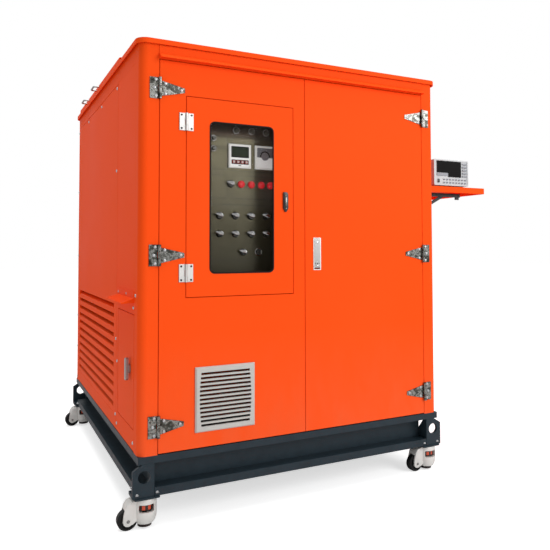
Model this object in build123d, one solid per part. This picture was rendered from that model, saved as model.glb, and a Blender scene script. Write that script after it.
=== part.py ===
from build123d import *
import os
from math import atan2, cos, degrees, hypot, pi, radians, sin, sqrt

os.makedirs("parts", exist_ok=True)

# Trailer-sized generator load bank: sheet-steel cabinet on a channel frame and four levelling casters.
# While it is modelled, x = 0 is the left side, y = 0 the door face and z = 0 the floor (millimetres).
# At the end everything moves so that the origin is the centre of the footprint.

# ---- driving sizes -------------------------------------------------------------------------------
cab_w = 1346.0            # cabinet width, side to side
cab_d = 1504.0            # cabinet depth, doors to rear panel
cab_h = 1500.0            # cabinet height with its roof
base_h = 142.0            # channel frame under the cabinet
caster_h = 115.0          # floor to the underside of the frame
run_gap = 0.05            # radial clearance of pins and shafts
air = 0.4                 # clearance between pieces that move past each other
seat = 0.3                # gap left where a piece rests against its seat

sheet = 2.0               # skins, doors and hoods
plate = 3.0               # deck, bulkhead and control panel

# base frame
deck_t = 3.0
recess_d = 55.0           # depth of the channel recess
top_bar_h = 23.0
bottom_bar_h = 30.0
web_t = 6.0
corner_bay = 60.0         # open corner that holds a lifting post
cross_w = 80.0
cross_h = 90.0

# lifting posts
lug_t = 12.0
lug_out = 18.0            # how far a lug stands out past the cabinet side
lug_hole_r = 22.5
foot_plate_t = 12.0
foot_plate_out = 18.0

# posts, header rails and roof
post_w = 70.0
post_d = 66.0
post_r = 30.0
post_t = 3.0
seam = 3.0                # visible gap round doors and panels
header_drop = 72.0        # roof top to the top edge of the doors
door_mid = cab_w / 2      # where the two doors meet
side_rail_drop = 78.0     # roof top to the slit above the side panels
roof_t = 3.0
roof_lip = 18.0
roof_over = 12.0

# roof hatch
hatch_y0 = 333.0
hatch_y1 = 1423.0
hatch_h = 22.0
hatch_side = 24.0         # roof edge to the coaming
coaming_h = 13.0
hatch_pin_r = 4.0
hatch_barrel_r = 7.0
hatch_hinge_in = 34.0     # hinge axis from the cabinet's right side
handle_ys = (843.0, 1139.0)

# main doors
door_pan = 22.0
door_bottom = 4.0
hinge_zs = (100.0, 712.0, cab_h - 178.0)     # middles of the strap hinges above the cabinet floor
strap_h = 78.0
strap_l = 88.0
strap_tip = 16.0
strap_t = 3.0
leaf_w = 30.0
barrel_r = 6.5
barrel_pin_r = 3.5

# window door
sub_drop = 196.0          # cabinet top to the window door's top
sub_h = 748.0
sub_in = 13.5             # strap hinge tip to the window door
sub_side = 53.0           # window door to the doors' meeting edges
sub_x0 = post_w + seam / 2 + strap_l + sub_in
sub_x1 = door_mid - sub_side
sub_z1 = cab_h - sub_drop
sub_z0 = sub_z1 - sub_h
sub_pan = 15.0
win_hinge_side = 93.0     # window door edge to the window, hinge side
win_latch_side = 88.0
win_end = 87.0            # the same, above and below
win_x0 = sub_x0 + win_hinge_side
win_x1 = sub_x1 - win_latch_side
win_z0 = sub_z0 + win_end
win_z1 = sub_z1 - win_end
win_r = 20.0
glass_t = 5.0
butt_h = 66.0
butt_w = 27.0
butt_t = 4.0
butt_r = 5.0
butt_pin_r = 2.5
butt_zs = (sub_z0 + 90.0, sub_z1 - 97.0)
latch_x = sub_x1 - 36.0
latch_z = sub_z0 + 366.0
latch_w = 22.0
latch_h = 78.0
latch_t = 6.0
latch_shaft_r = 5.0

# vent grille
vent_x0 = 209.0
vent_x1 = 448.0
vent_z0 = 60.0
vent_z1 = 298.0
vent_t = 9.0
vent_slots = 13
vent_border = 17.0

# right door lock
lock_x = door_mid + 56.0
lock_z = 714.0
lock_w = 28.0
lock_h = 126.0
lock_depth = 14.0
lock_pin_r = 2.0
lock_heel_r = 5.0         # rounded heel that turns inside the pocket
lock_axis_up = 9.0        # pocket floor to the paddle's pin

# side panels and louvres
seam_y = 385.0
louvre_y0 = 440.0
louvre_y1 = 1404.0
louvre_z0 = 58.0
louvre_n = 11
louvre_pitch = 40.8
louvre_slot = 24.0
louvre_out = 20.0
side_pan = 20.0

# cable door
cable_y0 = 74.0
cable_y1 = 350.0
cable_z0 = 80.0
cable_z1 = 493.0
cable_pan = 15.0
cable_pin_r = 4.0
cable_pin_in = 9.0
cable_handle_y = 132.0
cable_handle_z = 290.0
cable_hood_z = 537.0
cable_hood_out = 48.0

# control panel behind the window
panel_y = 90.0
panel_x0 = sub_x0 + 59.0
panel_x1 = sub_x1 - 20.0
panel_z0 = sub_z0 + 40.0
panel_z1 = sub_z1 - 42.0
meter_w = 96.0
meter_out = 9.0
meter_z = panel_z0 + 511.0
meter_xs = (panel_x1 - 177.0, panel_x1 - 62.0)
column_xs = tuple(panel_x1 - 61.0 - 67.0 * step for step in (3, 2, 1, 0))
row_zs = (panel_z0 + 271.0, panel_z0 + 199.0)
last_row_z = panel_z0 + 126.0
lamp_row_z = panel_z0 + 398.0
first_selector_x = panel_x1 - 215.0
lamp_xs = (panel_x1 - 171.0, panel_x1 - 127.0, panel_x1 - 83.0, panel_x1 - 42.0)
top_lamp_z = panel_z0 + 615.0
top_lamp_xs = (panel_x1 - 192.0, panel_x1 - 124.0, panel_x1 - 60.0)
side_lamps = ((panel_x1 - 288.0, panel_z0 + 577.0), (panel_x1 - 288.0, panel_z0 + 536.0))
lamp_r = 14.0
lamp_out = 12.0
knob_r = 15.0
knob_out = 9.0
grip_out = 15.0
knob_shaft_r = 6.0

# shelf and instrument
shelf_y0 = 100.0
shelf_y1 = 500.0
shelf_w = 360.0
shelf_top = 1034.0
shelf_h = 28.0
shelf_axis_out = 40.0
arm_h = 18.0
arm_t = 6.0
arm_l = 250.0
brace_drop = 94.0
brace_out = 16.0
brace_reach = 170.0
brace_w = 14.0
brace_t = 5.0
shelf_pin_r = 4.0
bracket_ys = (150.0, 440.0)
unit_w = 215.0
unit_h = 132.0
unit_d = 340.0
unit_x = 94.0             # cabinet side to the instrument's left side
unit_feet = 6.0

# hot chamber
bulkhead_y = 380.0
fan_z = 560.0
fan_r = 410.0
fan_tip_gap = 8.0
fan_ring_h = 90.0
hub_r = 90.0
hub_h = 70.0
fan_shaft_r = 14.0
motor_r = 95.0
motor_h = 190.0
blade_n = 6
bank_zs = (760.0, 940.0, 1120.0)
rail_mid_in = 60.0        # contactor rails: in from the doors' middle and from the side
rail_side_in = 130.0
rail_low = 480.0
rail_pitch = 290.0
bank_rods = 9
rod_r = 9.0
bank_x0 = 180.0

# casters
caster_in_x = 35.0        # swivel axis from the cabinet's side
caster_in_y = 40.0        # swivel axis from the cabinet's front or rear
caster_plate_w = 92.0
caster_plate_t = 6.0
king_pin_r = 9.0
drum_r = 42.0
drum_h = 58.0
wheel_r = 36.0
wheel_w = 30.0
wheel_trail = 63.0
axle_r = 5.0
cheek_t = 7.0
dial_r = 31.0
dial_t = 10.0
jack_r = 8.0
jack_travel = 10.0
pad_r = 25.0
pad_lift = 7.0

# ---- levels worked out from them -----------------------------------------------------------------
cab_z0 = caster_h + base_h
cab_z1 = cab_z0 + cab_h
post_top = cab_z1 - roof_t - seat
door_top = cab_z1 - header_drop
side_top = cab_z1 - side_rail_drop
door_x0 = post_w + seam
door_x1 = cab_w - post_w - seam


# ---- small helpers -------------------------------------------------------------------------------
def block(x0, x1, y0, y1, z0, z1):
    return Pos((x0 + x1) / 2, (y0 + y1) / 2, (z0 + z1) / 2) * Box(x1 - x0, y1 - y0, z1 - z0)


def rod_z(x, y, z0, z1, r):
    return Pos(x, y, (z0 + z1) / 2) * Cylinder(r, z1 - z0)


def rod_y(x, z, y0, y1, r):
    return Pos(x, (y0 + y1) / 2, z) * Rot(90, 0, 0) * Cylinder(r, y1 - y0)


def rod_x(y, z, x0, x1, r):
    return Pos((x0 + x1) / 2, y, z) * Rot(0, 90, 0) * Cylinder(r, x1 - x0)


def prism_y(points, y0, y1):
    """A section drawn as (x, z) points and run from y0 to y1."""
    face = Plane.XZ * make_face(Polyline(*points, close=True))
    return Pos(0, y1, 0) * extrude(face, y1 - y0, dir=(0, -1, 0))


def prism_x(points, x0, x1):
    """A section drawn as (y, z) points and run from x0 to x1."""
    face = Plane.YZ * make_face(Polyline(*points, close=True))
    return Pos(x0, 0, 0) * extrude(face, x1 - x0, dir=(1, 0, 0))


def round_upright(solid, x, y, r):
    """Round the upright edge that stands nearest (x, y)."""
    middle = solid.bounding_box().center()
    edge = solid.edges().filter_by(Axis.Z).sort_by_distance((x, y, middle.Z))[0]
    return fillet(edge, r)


def front_pan(x0, x1, z0, z1, depth):
    """Folded door skin: front sheet at y = 0 and returns going back."""
    skin = block(x0, x1, 0, depth, z0, z1)
    return skin - block(x0 + sheet, x1 - sheet, sheet, depth + 1, z0 + sheet, z1 - sheet)


def window_hole(x0, x1, z0, z1, r, y0, y1):
    hole = block(x0, x1, y0, y1, z0, z1)
    return fillet(hole.edges().filter_by(Axis.Y), r)


def mirrored_x(solid):
    """The same piece on the cabinet's other side."""
    return mirror(solid, Plane.YZ.offset(cab_w / 2))


# ---- base frame ----------------------------------------------------------------------------------
def channel_section(height):
    """Outward-opening channel in (depth, z): two flanges and a web set back from the face."""
    back = recess_d + web_t
    return [
        (0, 0), (back, 0), (back, height), (0, height), (0, height - top_bar_h),
        (recess_d, height - top_bar_h), (recess_d, bottom_bar_h), (0, bottom_bar_h),
    ]


def front_rail():
    height = base_h - deck_t
    back = recess_d + web_t
    rail = prism_x(channel_section(height), back, cab_w - back)
    return Pos(0, 0, caster_h) * rail


def side_rail():
    """Side channel; its top flange runs to both corners, its bottom flange stops at the posts."""
    height = base_h - deck_t
    rail = prism_y(channel_section(height), 0, cab_d)
    for y0, y1 in ((-1, corner_bay), (cab_d - corner_bay, cab_d + 1)):
        rail -= block(-1, recess_d + web_t + 1, y0, y1, -1, height - top_bar_h)
    return Pos(0, 0, caster_h) * rail


def base_frame():
    front = front_rail()
    rear = mirror(front, Plane.XZ.offset(-cab_d / 2))
    left = side_rail()
    inner = recess_d + web_t
    top = cab_z0 - deck_t
    pieces = [front, rear, left, mirrored_x(left)]
    pieces.append(block(0, cab_w, 0, cab_d, top, cab_z0))
    for share in (1 / 3, 2 / 3):
        y = cab_d * share
        pieces.append(block(inner, cab_w - inner, y - cross_w / 2, y + cross_w / 2, top - cross_h, top))
    return pieces


def lifting_post():
    """Front left post: foot plate, lug with a lifting eye and a gusset at right angles to it."""
    inner = corner_bay - air
    top = cab_z0 - deck_t - top_bar_h - air
    foot = block(-foot_plate_out, inner, 0, inner, caster_h, caster_h + foot_plate_t)
    lug_x1 = inner - lug_t
    lug = prism_y([
        (-lug_out, caster_h), (lug_x1 + 1, caster_h), (lug_x1 + 1, top),
        (lug_x1 * 0.35, top), (-lug_out, top - lug_out * 1.2),
    ], 0, lug_t)
    eye_z = caster_h + base_h / 2
    lug -= rod_y(lug_x1 / 2, eye_z, -1, lug_t + 1, lug_hole_r)
    gusset = prism_x([
        (0, caster_h), (inner, caster_h), (inner, caster_h + base_h * 0.45), (lug_t * 1.6, top), (0, top),
    ], lug_x1, inner)
    return foot + lug + gusset


def lifting_posts():
    left = lifting_post()
    back = mirror(left, Plane.XZ.offset(-cab_d / 2))
    return [left, back, mirrored_x(left), mirrored_x(back)]


# ---- cabinet frame, roof and panels --------------------------------------------------------------
def corner_post():
    outer = block(0, post_w, 0, post_d, cab_z0, post_top)
    outer = round_upright(outer, 0, 0, post_r)
    inner = block(post_t, post_w - post_t, post_t, post_d - post_t, cab_z0 - 1, post_top + 1)
    inner = round_upright(inner, post_t, post_t, post_r - post_t)
    return outer - inner


def header_rail_x(y0, y1, z0):
    rail = block(post_w, cab_w - post_w, y0, y1, z0, post_top)
    return rail - block(post_w - 1, cab_w - post_w + 1, y0 + post_t, y1 - post_t, z0 + post_t, post_top - post_t)


def header_rail_y(x0, x1, z0):
    rail = block(x0, x1, post_d, cab_d - post_d, z0, post_top)
    return rail - block(x0 + post_t, x1 - post_t, post_d - 1, cab_d - post_d + 1, z0 + post_t, post_top - post_t)


def cabinet_frame():
    post = corner_post()
    back = mirror(post, Plane.XZ.offset(-cab_d / 2))
    pieces = [post, back, mirrored_x(post), mirrored_x(back)]
    pieces.append(header_rail_x(0, 40, door_top + seam))
    pieces.append(header_rail_x(cab_d - 40, cab_d, side_top + seam))
    side = header_rail_y(0, 40, side_top + seam)
    pieces.append(side)
    pieces.append(mirrored_x(side))
    return pieces


def hatch_box():
    """Plan of the roof opening: x0, x1, y0, y1 of the coaming's outside."""
    x1 = cab_w - hatch_hinge_in - hatch_barrel_r - 30
    return hatch_side, x1, hatch_y0 + 25, hatch_y1 - 25


def roof_panel():
    corner = post_r + roof_over
    z0 = cab_z1 - roof_lip
    outer = block(-roof_over, cab_w + roof_over, -roof_over, cab_d + roof_over, z0, cab_z1)
    outer = fillet(outer.edges().filter_by(Axis.Z), corner)
    inner_over = roof_over - roof_t
    inner = block(-inner_over, cab_w + inner_over, -inner_over, cab_d + inner_over, z0 - 1, cab_z1 - roof_t)
    inner = fillet(inner.edges().filter_by(Axis.Z), corner - roof_t)
    x0, x1, y0, y1 = hatch_box()
    coaming = block(x0, x1, y0, y1, cab_z1 - roof_t, cab_z1 + coaming_h)
    hole = block(x0 + roof_t, x1 - roof_t, y0 + roof_t, y1 - roof_t, z0, cab_z1 + coaming_h + 1)
    roof = outer - inner + coaming - hole
    for y in hatch_hinge_ys():
        roof += hatch_bracket(y)
    return roof


def hatch_hinge_ys():
    span = hatch_y1 - hatch_y0
    return hatch_y0 + span * 0.18, hatch_y1 - span * 0.18


def hatch_axis():
    return cab_w - hatch_hinge_in, cab_z1 + hatch_barrel_r + 1


def hatch_bracket(y):
    """Fixed half of a hatch hinge: two knuckles on a leaf, and the pin."""
    x, z = hatch_axis()
    bracket = block(x - hatch_barrel_r, x + hatch_barrel_r, y - 45, y - 15 - air, cab_z1, z)
    bracket += block(x - hatch_barrel_r, x + hatch_barrel_r, y + 15 + air, y + 45, cab_z1, z)
    bracket += rod_y(x, z, y - 45, y - 15 - air, hatch_barrel_r)
    bracket += rod_y(x, z, y + 15 + air, y + 45, hatch_barrel_r)
    return bracket + rod_y(x, z, y - 45, y + 45, hatch_pin_r)


def exhaust_hatch():
    """Folded lid over the coaming, with two hinge knuckles on its right edge."""
    x, z = hatch_axis()
    x1 = x - hatch_barrel_r - 3
    z0 = cab_z1 + air
    lid = block(-roof_over / 2, x1, hatch_y0, hatch_y1, z0, cab_z1 + hatch_h)
    lid = fillet(lid.edges().filter_by(Axis.Z), 12)
    lid -= block(-roof_over / 2 + sheet, x1 - sheet, hatch_y0 + sheet, hatch_y1 - sheet, 0, cab_z1 + hatch_h - sheet)
    for y in hatch_hinge_ys():
        lid += block(x1 - sheet, x, y - 15, y + 15, z - 3, z + 3)
        lid += rod_y(x, z, y - 15, y + 15, hatch_barrel_r)
        lid -= rod_y(x, z, y - 16, y + 16, hatch_pin_r + run_gap)
    return lid


def hatch_handles():
    """Two bent-rod pulls on the lid's left edge."""
    pulls = []
    rod = 4.0
    reach = 26.0
    z = cab_z1 + hatch_h / 2
    for y in handle_ys:
        path = FilletPolyline(
            (-roof_over / 2, y - 38, z), (-roof_over / 2 - reach, y - 38, z),
            (-roof_over / 2 - reach, y + 38, z), (-roof_over / 2, y + 38, z), radius=12)
        section = Plane(origin=(-roof_over / 2, y - 38, z), z_dir=(-1, 0, 0)) * Circle(rod)
        pulls.append(sweep(section, path=path))
    return pulls


def louvre_blades(z_low):
    """Pressed louvres: slanted blades with closed ends, standing out from the x = 0 face."""
    blades = []
    for i in range(louvre_n):
        z0 = z_low + i * louvre_pitch
        top = z0 + louvre_slot + 4
        outer = [(0.0, top), (-louvre_out, z0 + 3), (-louvre_out, z0), (0.0, top - 4)]
        blade = prism_y(outer, louvre_y0, louvre_y1)
        for y in (louvre_y0, louvre_y1 - sheet):
            blade += prism_y([(0.0, top), (-louvre_out, z0 + 3), (-louvre_out, z0), (0.0, z0)], y, y + sheet)
        blades.append(blade)
    return blades


def louvre_panel():
    """Left rear skin with its bank of intake louvres."""
    y0 = seam_y + seam / 2
    y1 = cab_d - post_d - seam
    skin = block(0, side_pan, y0, y1, cab_z0 + seam, side_top)
    skin -= block(sheet, side_pan + 1, y0 + sheet, y1 - sheet, cab_z0 + seam + sheet, side_top - sheet)
    for i in range(louvre_n):
        z0 = cab_z0 + louvre_z0 + i * louvre_pitch
        skin -= block(-1, sheet + 1, louvre_y0 + sheet, louvre_y1 - sheet, z0, z0 + louvre_slot)
    for blade in louvre_blades(cab_z0 + louvre_z0):
        skin += blade
    return skin


def cable_panel():
    """Left front skin; its lower half is the frame of the cable door."""
    y0 = post_d + seam
    y1 = seam_y - seam / 2
    skin = block(0, side_pan, y0, y1, cab_z0 + seam, side_top)
    skin -= block(sheet, side_pan + 1, y0 + sheet, y1 - sheet, cab_z0 + seam + sheet, side_top - sheet)
    oy0, oy1, oz0, oz1 = cable_opening()
    frame = block(0, side_pan, y0, y1, oz0 - 12, oz1 + 12)
    skin += frame
    skin -= block(-1, side_pan + 1, oy0, oy1, oz0, oz1)
    y, x = cable_axis()
    skin -= rod_z(x, y, oz0 - 10, oz1 + 10, cable_pin_r + run_gap)
    return skin


def cable_opening():
    return cable_y0 - seam, cable_y1 + 5, cab_z0 + cable_z0 - seam, cab_z0 + cable_z1 + seam


def cable_axis():
    return cable_y1 - cable_pin_in, cable_pin_in


def cable_door_panel():
    z0 = cab_z0 + cable_z0
    z1 = cab_z0 + cable_z1
    door = block(0, cable_pan, cable_y0, cable_y1, z0, z1)
    door -= block(sheet, cable_pan + 1, cable_y0 + sheet, cable_y1 - 2 * cable_pin_in, z0 + sheet, z1 - sheet)
    door -= rod_x(cable_handle_y, cab_z0 + cable_handle_z, -1, cable_pan + 1, cable_shaft_r() + run_gap)
    y, x = cable_axis()
    for low, high in ((z0 - seam - 8, z0 + 20), (z1 - 20, z1 + seam + 8)):
        door += rod_z(x, y, low, high, cable_pin_r)
    return door


def cable_shaft_r():
    return 7.0


def cable_door_handle():
    """Quarter-turn lever on a round rose; the shaft passes through the door skin."""
    y = cable_handle_y
    z = cab_z0 + cable_handle_z
    rose = rod_x(y, z, -7, -air, 17)
    lever = block(-20, -7, y - 9, y + 9, z - 42, z + 42)
    lever = fillet(lever.edges().filter_by(Axis.X), 8.5)
    lever = chamfer(lever.faces().sort_by(Axis.X)[0].edges(), 3)
    shaft = rod_x(y, z, -7, cable_pan, cable_shaft_r())
    return rose + lever + shaft


def right_side_panel():
    """Right skin in one sheet from post to post, with the outlet louvres."""
    y0 = post_d + seam
    y1 = cab_d - post_d - seam
    skin = block(0, side_pan, y0, y1, cab_z0 + seam, side_top)
    skin -= block(sheet, side_pan + 1, y0 + sheet, y1 - sheet, cab_z0 + seam + sheet, side_top - sheet)
    for i in range(louvre_n):
        z0 = cab_z0 + louvre_z0 + i * louvre_pitch
        skin -= block(-1, sheet + 1, louvre_y0 + sheet, louvre_y1 - sheet, z0, z0 + louvre_slot)
    for blade in louvre_blades(cab_z0 + louvre_z0):
        skin += blade
    return mirrored_x(skin)


def rear_panels():
    """Rear skin and the bulkhead between the switchgear and the hot chamber."""
    x0 = post_w + seam
    x1 = cab_w - post_w - seam
    z0 = cab_z0 + seam
    rear = block(x0, x1, cab_d - side_pan, cab_d, z0, side_top)
    rear -= block(x0 + sheet, x1 - sheet, cab_d - side_pan - 1, cab_d - sheet, z0 + sheet, side_top - sheet)
    inset = side_pan + 5
    bulkhead = block(inset, cab_w - inset, bulkhead_y, bulkhead_y + plate, cab_z0, side_top)
    return [rear, bulkhead]


def rain_hoods():
    """Drip hood over the doors and the small one over the cable door."""
    z_top = cab_z1 - roof_lip
    z_low = door_top + seam
    drop = z_top - z_low
    section = [
        (0, z_top), (0, z_low + drop * 0.30), (-26, z_low + 2), (-26, z_low),
        (-28, z_low), (-28, z_low + 3), (-sheet, z_low + drop * 0.42), (-sheet, z_top),
    ]
    front = prism_x(section, post_w, cab_w - post_w)
    for x in (post_w, cab_w - post_w - sheet):
        front += prism_x([
            (0, z_low + drop * 0.42), (0, z_low), (-28, z_low), (-28, z_low + 3), (-sheet, z_low + drop * 0.42),
        ], x, x + sheet)
    y0 = 38.0 + post_d / 2
    y1 = 357.0
    z0 = cab_z0 + cable_hood_z
    side = prism_y([
        (0, z0 + 44), (-sheet, z0 + 44), (-sheet, z0 + 17), (-cable_hood_out, z0 + 3),
        (-cable_hood_out, z0), (0, z0 + 14),
    ], y0, y1)
    for y in (y0, y1 - sheet):
        side += prism_y([(0, z0 + 16), (-cable_hood_out, z0 + 3), (-cable_hood_out, z0), (0, z0)], y, y + sheet)
    return [front, side]


# ---- hinges --------------------------------------------------------------------------------------
def barrel_axis():
    """Pin axis of the left door's strap hinges: x and y."""
    return post_w + seam / 2, -(barrel_r + 0.8)


def thirds(z0, z1):
    third = (z1 - z0) / 3
    return z0 + third, z1 - third


def fixed_strap_leaf(z):
    """Post leaf with the two outer knuckles and the pin."""
    x, y = barrel_axis()
    z0 = z - strap_h / 2
    z1 = z + strap_h / 2
    za, zb = thirds(z0, z1)
    x1 = x - barrel_r - air
    leaf = block(x1 - leaf_w, x1, -strap_t, 0, z0, z1)
    for low, high in ((z0, za - air / 2), (zb + air / 2, z1)):
        leaf += block(x1 - 1, x, -strap_t - 1.5, -0.8, low, high)
        leaf += rod_z(x, y, low, high, barrel_r)
    return leaf + rod_z(x, y, z0, z1, barrel_pin_r)


def moving_strap(z):
    """Tapered strap with the middle knuckle."""
    x, y = barrel_axis()
    za, zb = thirds(z - strap_h / 2, z + strap_h / 2)
    low = za + air / 2
    high = zb - air / 2
    x0 = x + barrel_r + air
    strap = prism_y([
        (x0, z - strap_h * 0.36), (x0 + strap_l, z - strap_tip / 2),
        (x0 + strap_l, z + strap_tip / 2), (x0, z + strap_h * 0.36),
    ], -strap_t, 0)
    strap += block(x, x0 + 1, -strap_t - 1.5, -0.8, low, high)
    strap += rod_z(x, y, low, high, barrel_r)
    return strap - rod_z(x, y, low - 1, high + 1, barrel_pin_r + run_gap)


def door_hinge_leaves():
    left = [fixed_strap_leaf(cab_z0 + z) for z in hinge_zs]
    return left + [mirrored_x(leaf) for leaf in left]


def left_door_straps():
    return [moving_strap(cab_z0 + z) for z in hinge_zs]


def right_door_straps():
    return [mirrored_x(strap) for strap in left_door_straps()]


def butt_axis():
    return sub_x0, -(butt_r + 0.8)


def butt_fixed(z):
    x, y = butt_axis()
    z0 = z - butt_h / 2
    z1 = z + butt_h / 2
    za, zb = thirds(z0, z1)
    x1 = x - butt_r - air
    leaf = block(x1 - butt_w + butt_r, x1, -butt_t, 0, z0, z1)
    leaf = chamfer(leaf.faces().sort_by(Axis.Y)[0].edges(), 1.2)
    for low, high in ((z0, za - air / 2), (zb + air / 2, z1)):
        leaf += block(x1 - 2, x, -butt_t, -0.8, low, high)
        leaf += rod_z(x, y, low, high, butt_r)
    return leaf + rod_z(x, y, z0, z1, butt_pin_r)


def butt_moving(z):
    x, y = butt_axis()
    z0 = z - butt_h / 2
    z1 = z + butt_h / 2
    za, zb = thirds(z0, z1)
    low = za + air / 2
    high = zb - air / 2
    x0 = x + butt_r + air
    leaf = block(x0, x0 + butt_w - butt_r, -butt_t, 0, z0, z1)
    leaf = chamfer(leaf.faces().sort_by(Axis.Y)[0].edges(), 1.2)
    leaf += block(x, x0 + 2, -butt_t, -0.8, low, high)
    leaf += rod_z(x, y, low, high, butt_r)
    return leaf - rod_z(x, y, low - 1, high + 1, butt_pin_r + run_gap)


# ---- doors ---------------------------------------------------------------------------------------
def left_door_panel():
    z0 = cab_z0 + door_bottom
    door = front_pan(door_x0, door_mid - seam / 2, z0, door_top, door_pan)
    ox0 = sub_x0 - seam / 2
    ox1 = sub_x1 + seam / 2
    oz0 = cab_z0 + sub_z0 - seam / 2
    oz1 = cab_z0 + sub_z1 + seam / 2
    well = sub_pan + air
    rim = block(ox0 - sheet, ox1 + sheet, 0, well + sheet, oz0 - sheet, oz1 + sheet)
    door += rim
    door -= block(ox0, ox1, -1, well, oz0, oz1)
    ledge = 12.0
    door -= block(ox0 + ledge, ox1 - ledge, 0, door_pan + 1, oz0 + ledge, oz1 - ledge)
    inset = vent_border * 0.6
    door -= block(vent_x0 + inset, vent_x1 - inset, -1, door_pan, cab_z0 + vent_z0 + inset, cab_z0 + vent_z1 - inset)
    return door


def vent_grille():
    """Moulded vent with bowed slot ends and blades that slope down and out."""
    z0 = cab_z0 + vent_z0
    z1 = cab_z0 + vent_z1
    grille = block(vent_x0, vent_x1, -vent_t, 0, z0, z1)
    grille = chamfer(grille.faces().sort_by(Axis.Y)[0].edges(), 5)
    pitch = (z1 - z0 - 2 * vent_border) / vent_slots
    mid_x = (vent_x0 + vent_x1) / 2
    for i in range(vent_slots):
        low = z0 + vent_border + i * pitch + pitch * 0.22
        share = (i + 0.5) / vent_slots - 0.5
        half = (vent_x1 - vent_x0) / 2 - vent_border * (0.95 + 1.6 * share * share)
        grille -= block(mid_x - half, mid_x + half, -vent_t - 1, 1, low, low + pitch * 0.56)
    return grille


def window_door_panel():
    z0 = cab_z0 + sub_z0 + seam / 2
    z1 = cab_z0 + sub_z1 - seam / 2
    door = front_pan(sub_x0 + seam / 2, sub_x1 - seam / 2, z0, z1, sub_pan)
    door -= window_hole(win_x0, win_x1, cab_z0 + win_z0, cab_z0 + win_z1, win_r, -1, sheet + 1)
    return door - rod_y(latch_x, cab_z0 + latch_z, -1, sheet + 1, latch_shaft_r + run_gap)


def window_glass():
    lap = 12.0
    return window_hole(
        win_x0 - lap, win_x1 + lap, cab_z0 + win_z0 - lap, cab_z0 + win_z1 + lap, win_r + lap,
        sheet, sheet + glass_t)


def window_latch():
    """Flush turn latch: a rounded lever on a short shaft with its nut behind the skin."""
    z = cab_z0 + latch_z
    lever = block(latch_x - latch_w / 2, latch_x + latch_w / 2, -latch_t - air, -air, z - latch_h / 2, z + latch_h / 2)
    lever = fillet(lever.edges().filter_by(Axis.Y), latch_w / 2 - 0.5)
    lever = chamfer(lever.faces().sort_by(Axis.Y)[0].edges(), 1.5)
    shaft = rod_y(latch_x, z, -latch_t, sheet + 8, latch_shaft_r)
    nut = rod_y(latch_x, z, sheet + air, sheet + 6, latch_shaft_r + 4)
    return lever + shaft + nut


def right_door_panel():
    z0 = cab_z0 + door_bottom
    door = front_pan(door_mid + seam / 2, door_x1, z0, door_top, door_pan)
    z = cab_z0 + lock_z
    pocket_w = lock_w / 2 + sheet
    pocket_h = lock_h / 2 + sheet
    door += block(lock_x - pocket_w, lock_x + pocket_w, 0, lock_depth + sheet, z - pocket_h, z + pocket_h)
    door -= block(lock_x - lock_w / 2, lock_x + lock_w / 2, -1, lock_depth, z - lock_h / 2, z + lock_h / 2)
    y, pz = lock_axis()
    return door - rod_x(y, pz, lock_x - pocket_w + 0.5, lock_x + pocket_w - 0.5, lock_pin_r + run_gap)


def lock_axis():
    return 6.0, cab_z0 + lock_z - lock_h / 2 + lock_axis_up


def door_lock_paddle():
    """Lift-up lock handle that swings out about a pin at its lower end."""
    y, z = lock_axis()
    half = lock_w / 2 - 1
    top = cab_z0 + lock_z + lock_h / 2 - 1
    paddle = block(lock_x - half, lock_x + half, -3, 10, z - 5, top)
    heel = paddle.edges().filter_by(Axis.X).group_by(Axis.Z)[0].sort_by(Axis.Y)[0]
    paddle = fillet(heel, lock_heel_r)
    front = paddle.faces().sort_by(Axis.Y)[0]
    paddle = fillet(front.edges().filter_by(Axis.X).sort_by(Axis.Z)[-1], 2)
    paddle -= block(lock_x - half + 3, lock_x + half - 3, 3, 11, z + 8, top - 3)
    return paddle + rod_x(y, z, lock_x - lock_w / 2 - 1, lock_x + lock_w / 2 + 1, lock_pin_r)


# ---- control panel -------------------------------------------------------------------------------
def control_panel():
    """Folded instrument panel on four arms that reach back to the bulkhead."""
    z0 = cab_z0 + panel_z0
    z1 = cab_z0 + panel_z1
    face = block(panel_x0, panel_x1, panel_y, panel_y + 20, z0, z1)
    face -= block(panel_x0 + plate, panel_x1 - plate, panel_y + plate, panel_y + 21, z0 + plate, z1 - plate)
    for x, z in selector_places():
        face -= rod_y(x, z, panel_y - 1, panel_y + plate + 1, knob_shaft_r + run_gap)
    bx, bz = button_place()
    face -= rod_y(bx, bz, panel_y - 1, panel_y + plate + 1, knob_shaft_r + run_gap)
    for x in (panel_x0 + 14, panel_x1 - 14):
        for z in (z0 + 30, z1 - 30):
            face += block(x - 11, x + 11, panel_y + plate, bulkhead_y, z - 11, z + 11)
    return face


def selector_places():
    places = [(first_selector_x, cab_z0 + lamp_row_z)]
    for z in row_zs:
        places += [(x, cab_z0 + z) for x in column_xs]
    between = (column_xs[1] + column_xs[2]) / 2
    return places + [(between, cab_z0 + last_row_z)]


def button_place():
    return (column_xs[2] + column_xs[3]) / 2, cab_z0 + last_row_z


def panel_meters():
    pieces = []
    for x in meter_xs:
        z = cab_z0 + meter_z
        half = meter_w / 2
        bezel = block(x - half, x + half, panel_y - meter_out, panel_y, z - half, z + half)
        bezel = chamfer(bezel.faces().sort_by(Axis.Y)[0].edges(), 2)
        frame_w = 7.0
        bezel -= block(
            x - half + frame_w, x + half - frame_w, panel_y - meter_out - 1, panel_y - meter_out + 2,
            z - half + frame_w, z + half - frame_w)
        pieces.append(bezel)
    return pieces


def lamp(x, z, r):
    ring = rod_y(x, z, panel_y - 3, panel_y, r)
    lens = rod_y(x, z, panel_y - lamp_out, panel_y - 3, r - 3)
    lens = chamfer(lens.faces().sort_by(Axis.Y)[0].edges(), 4)
    return ring + lens


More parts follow.
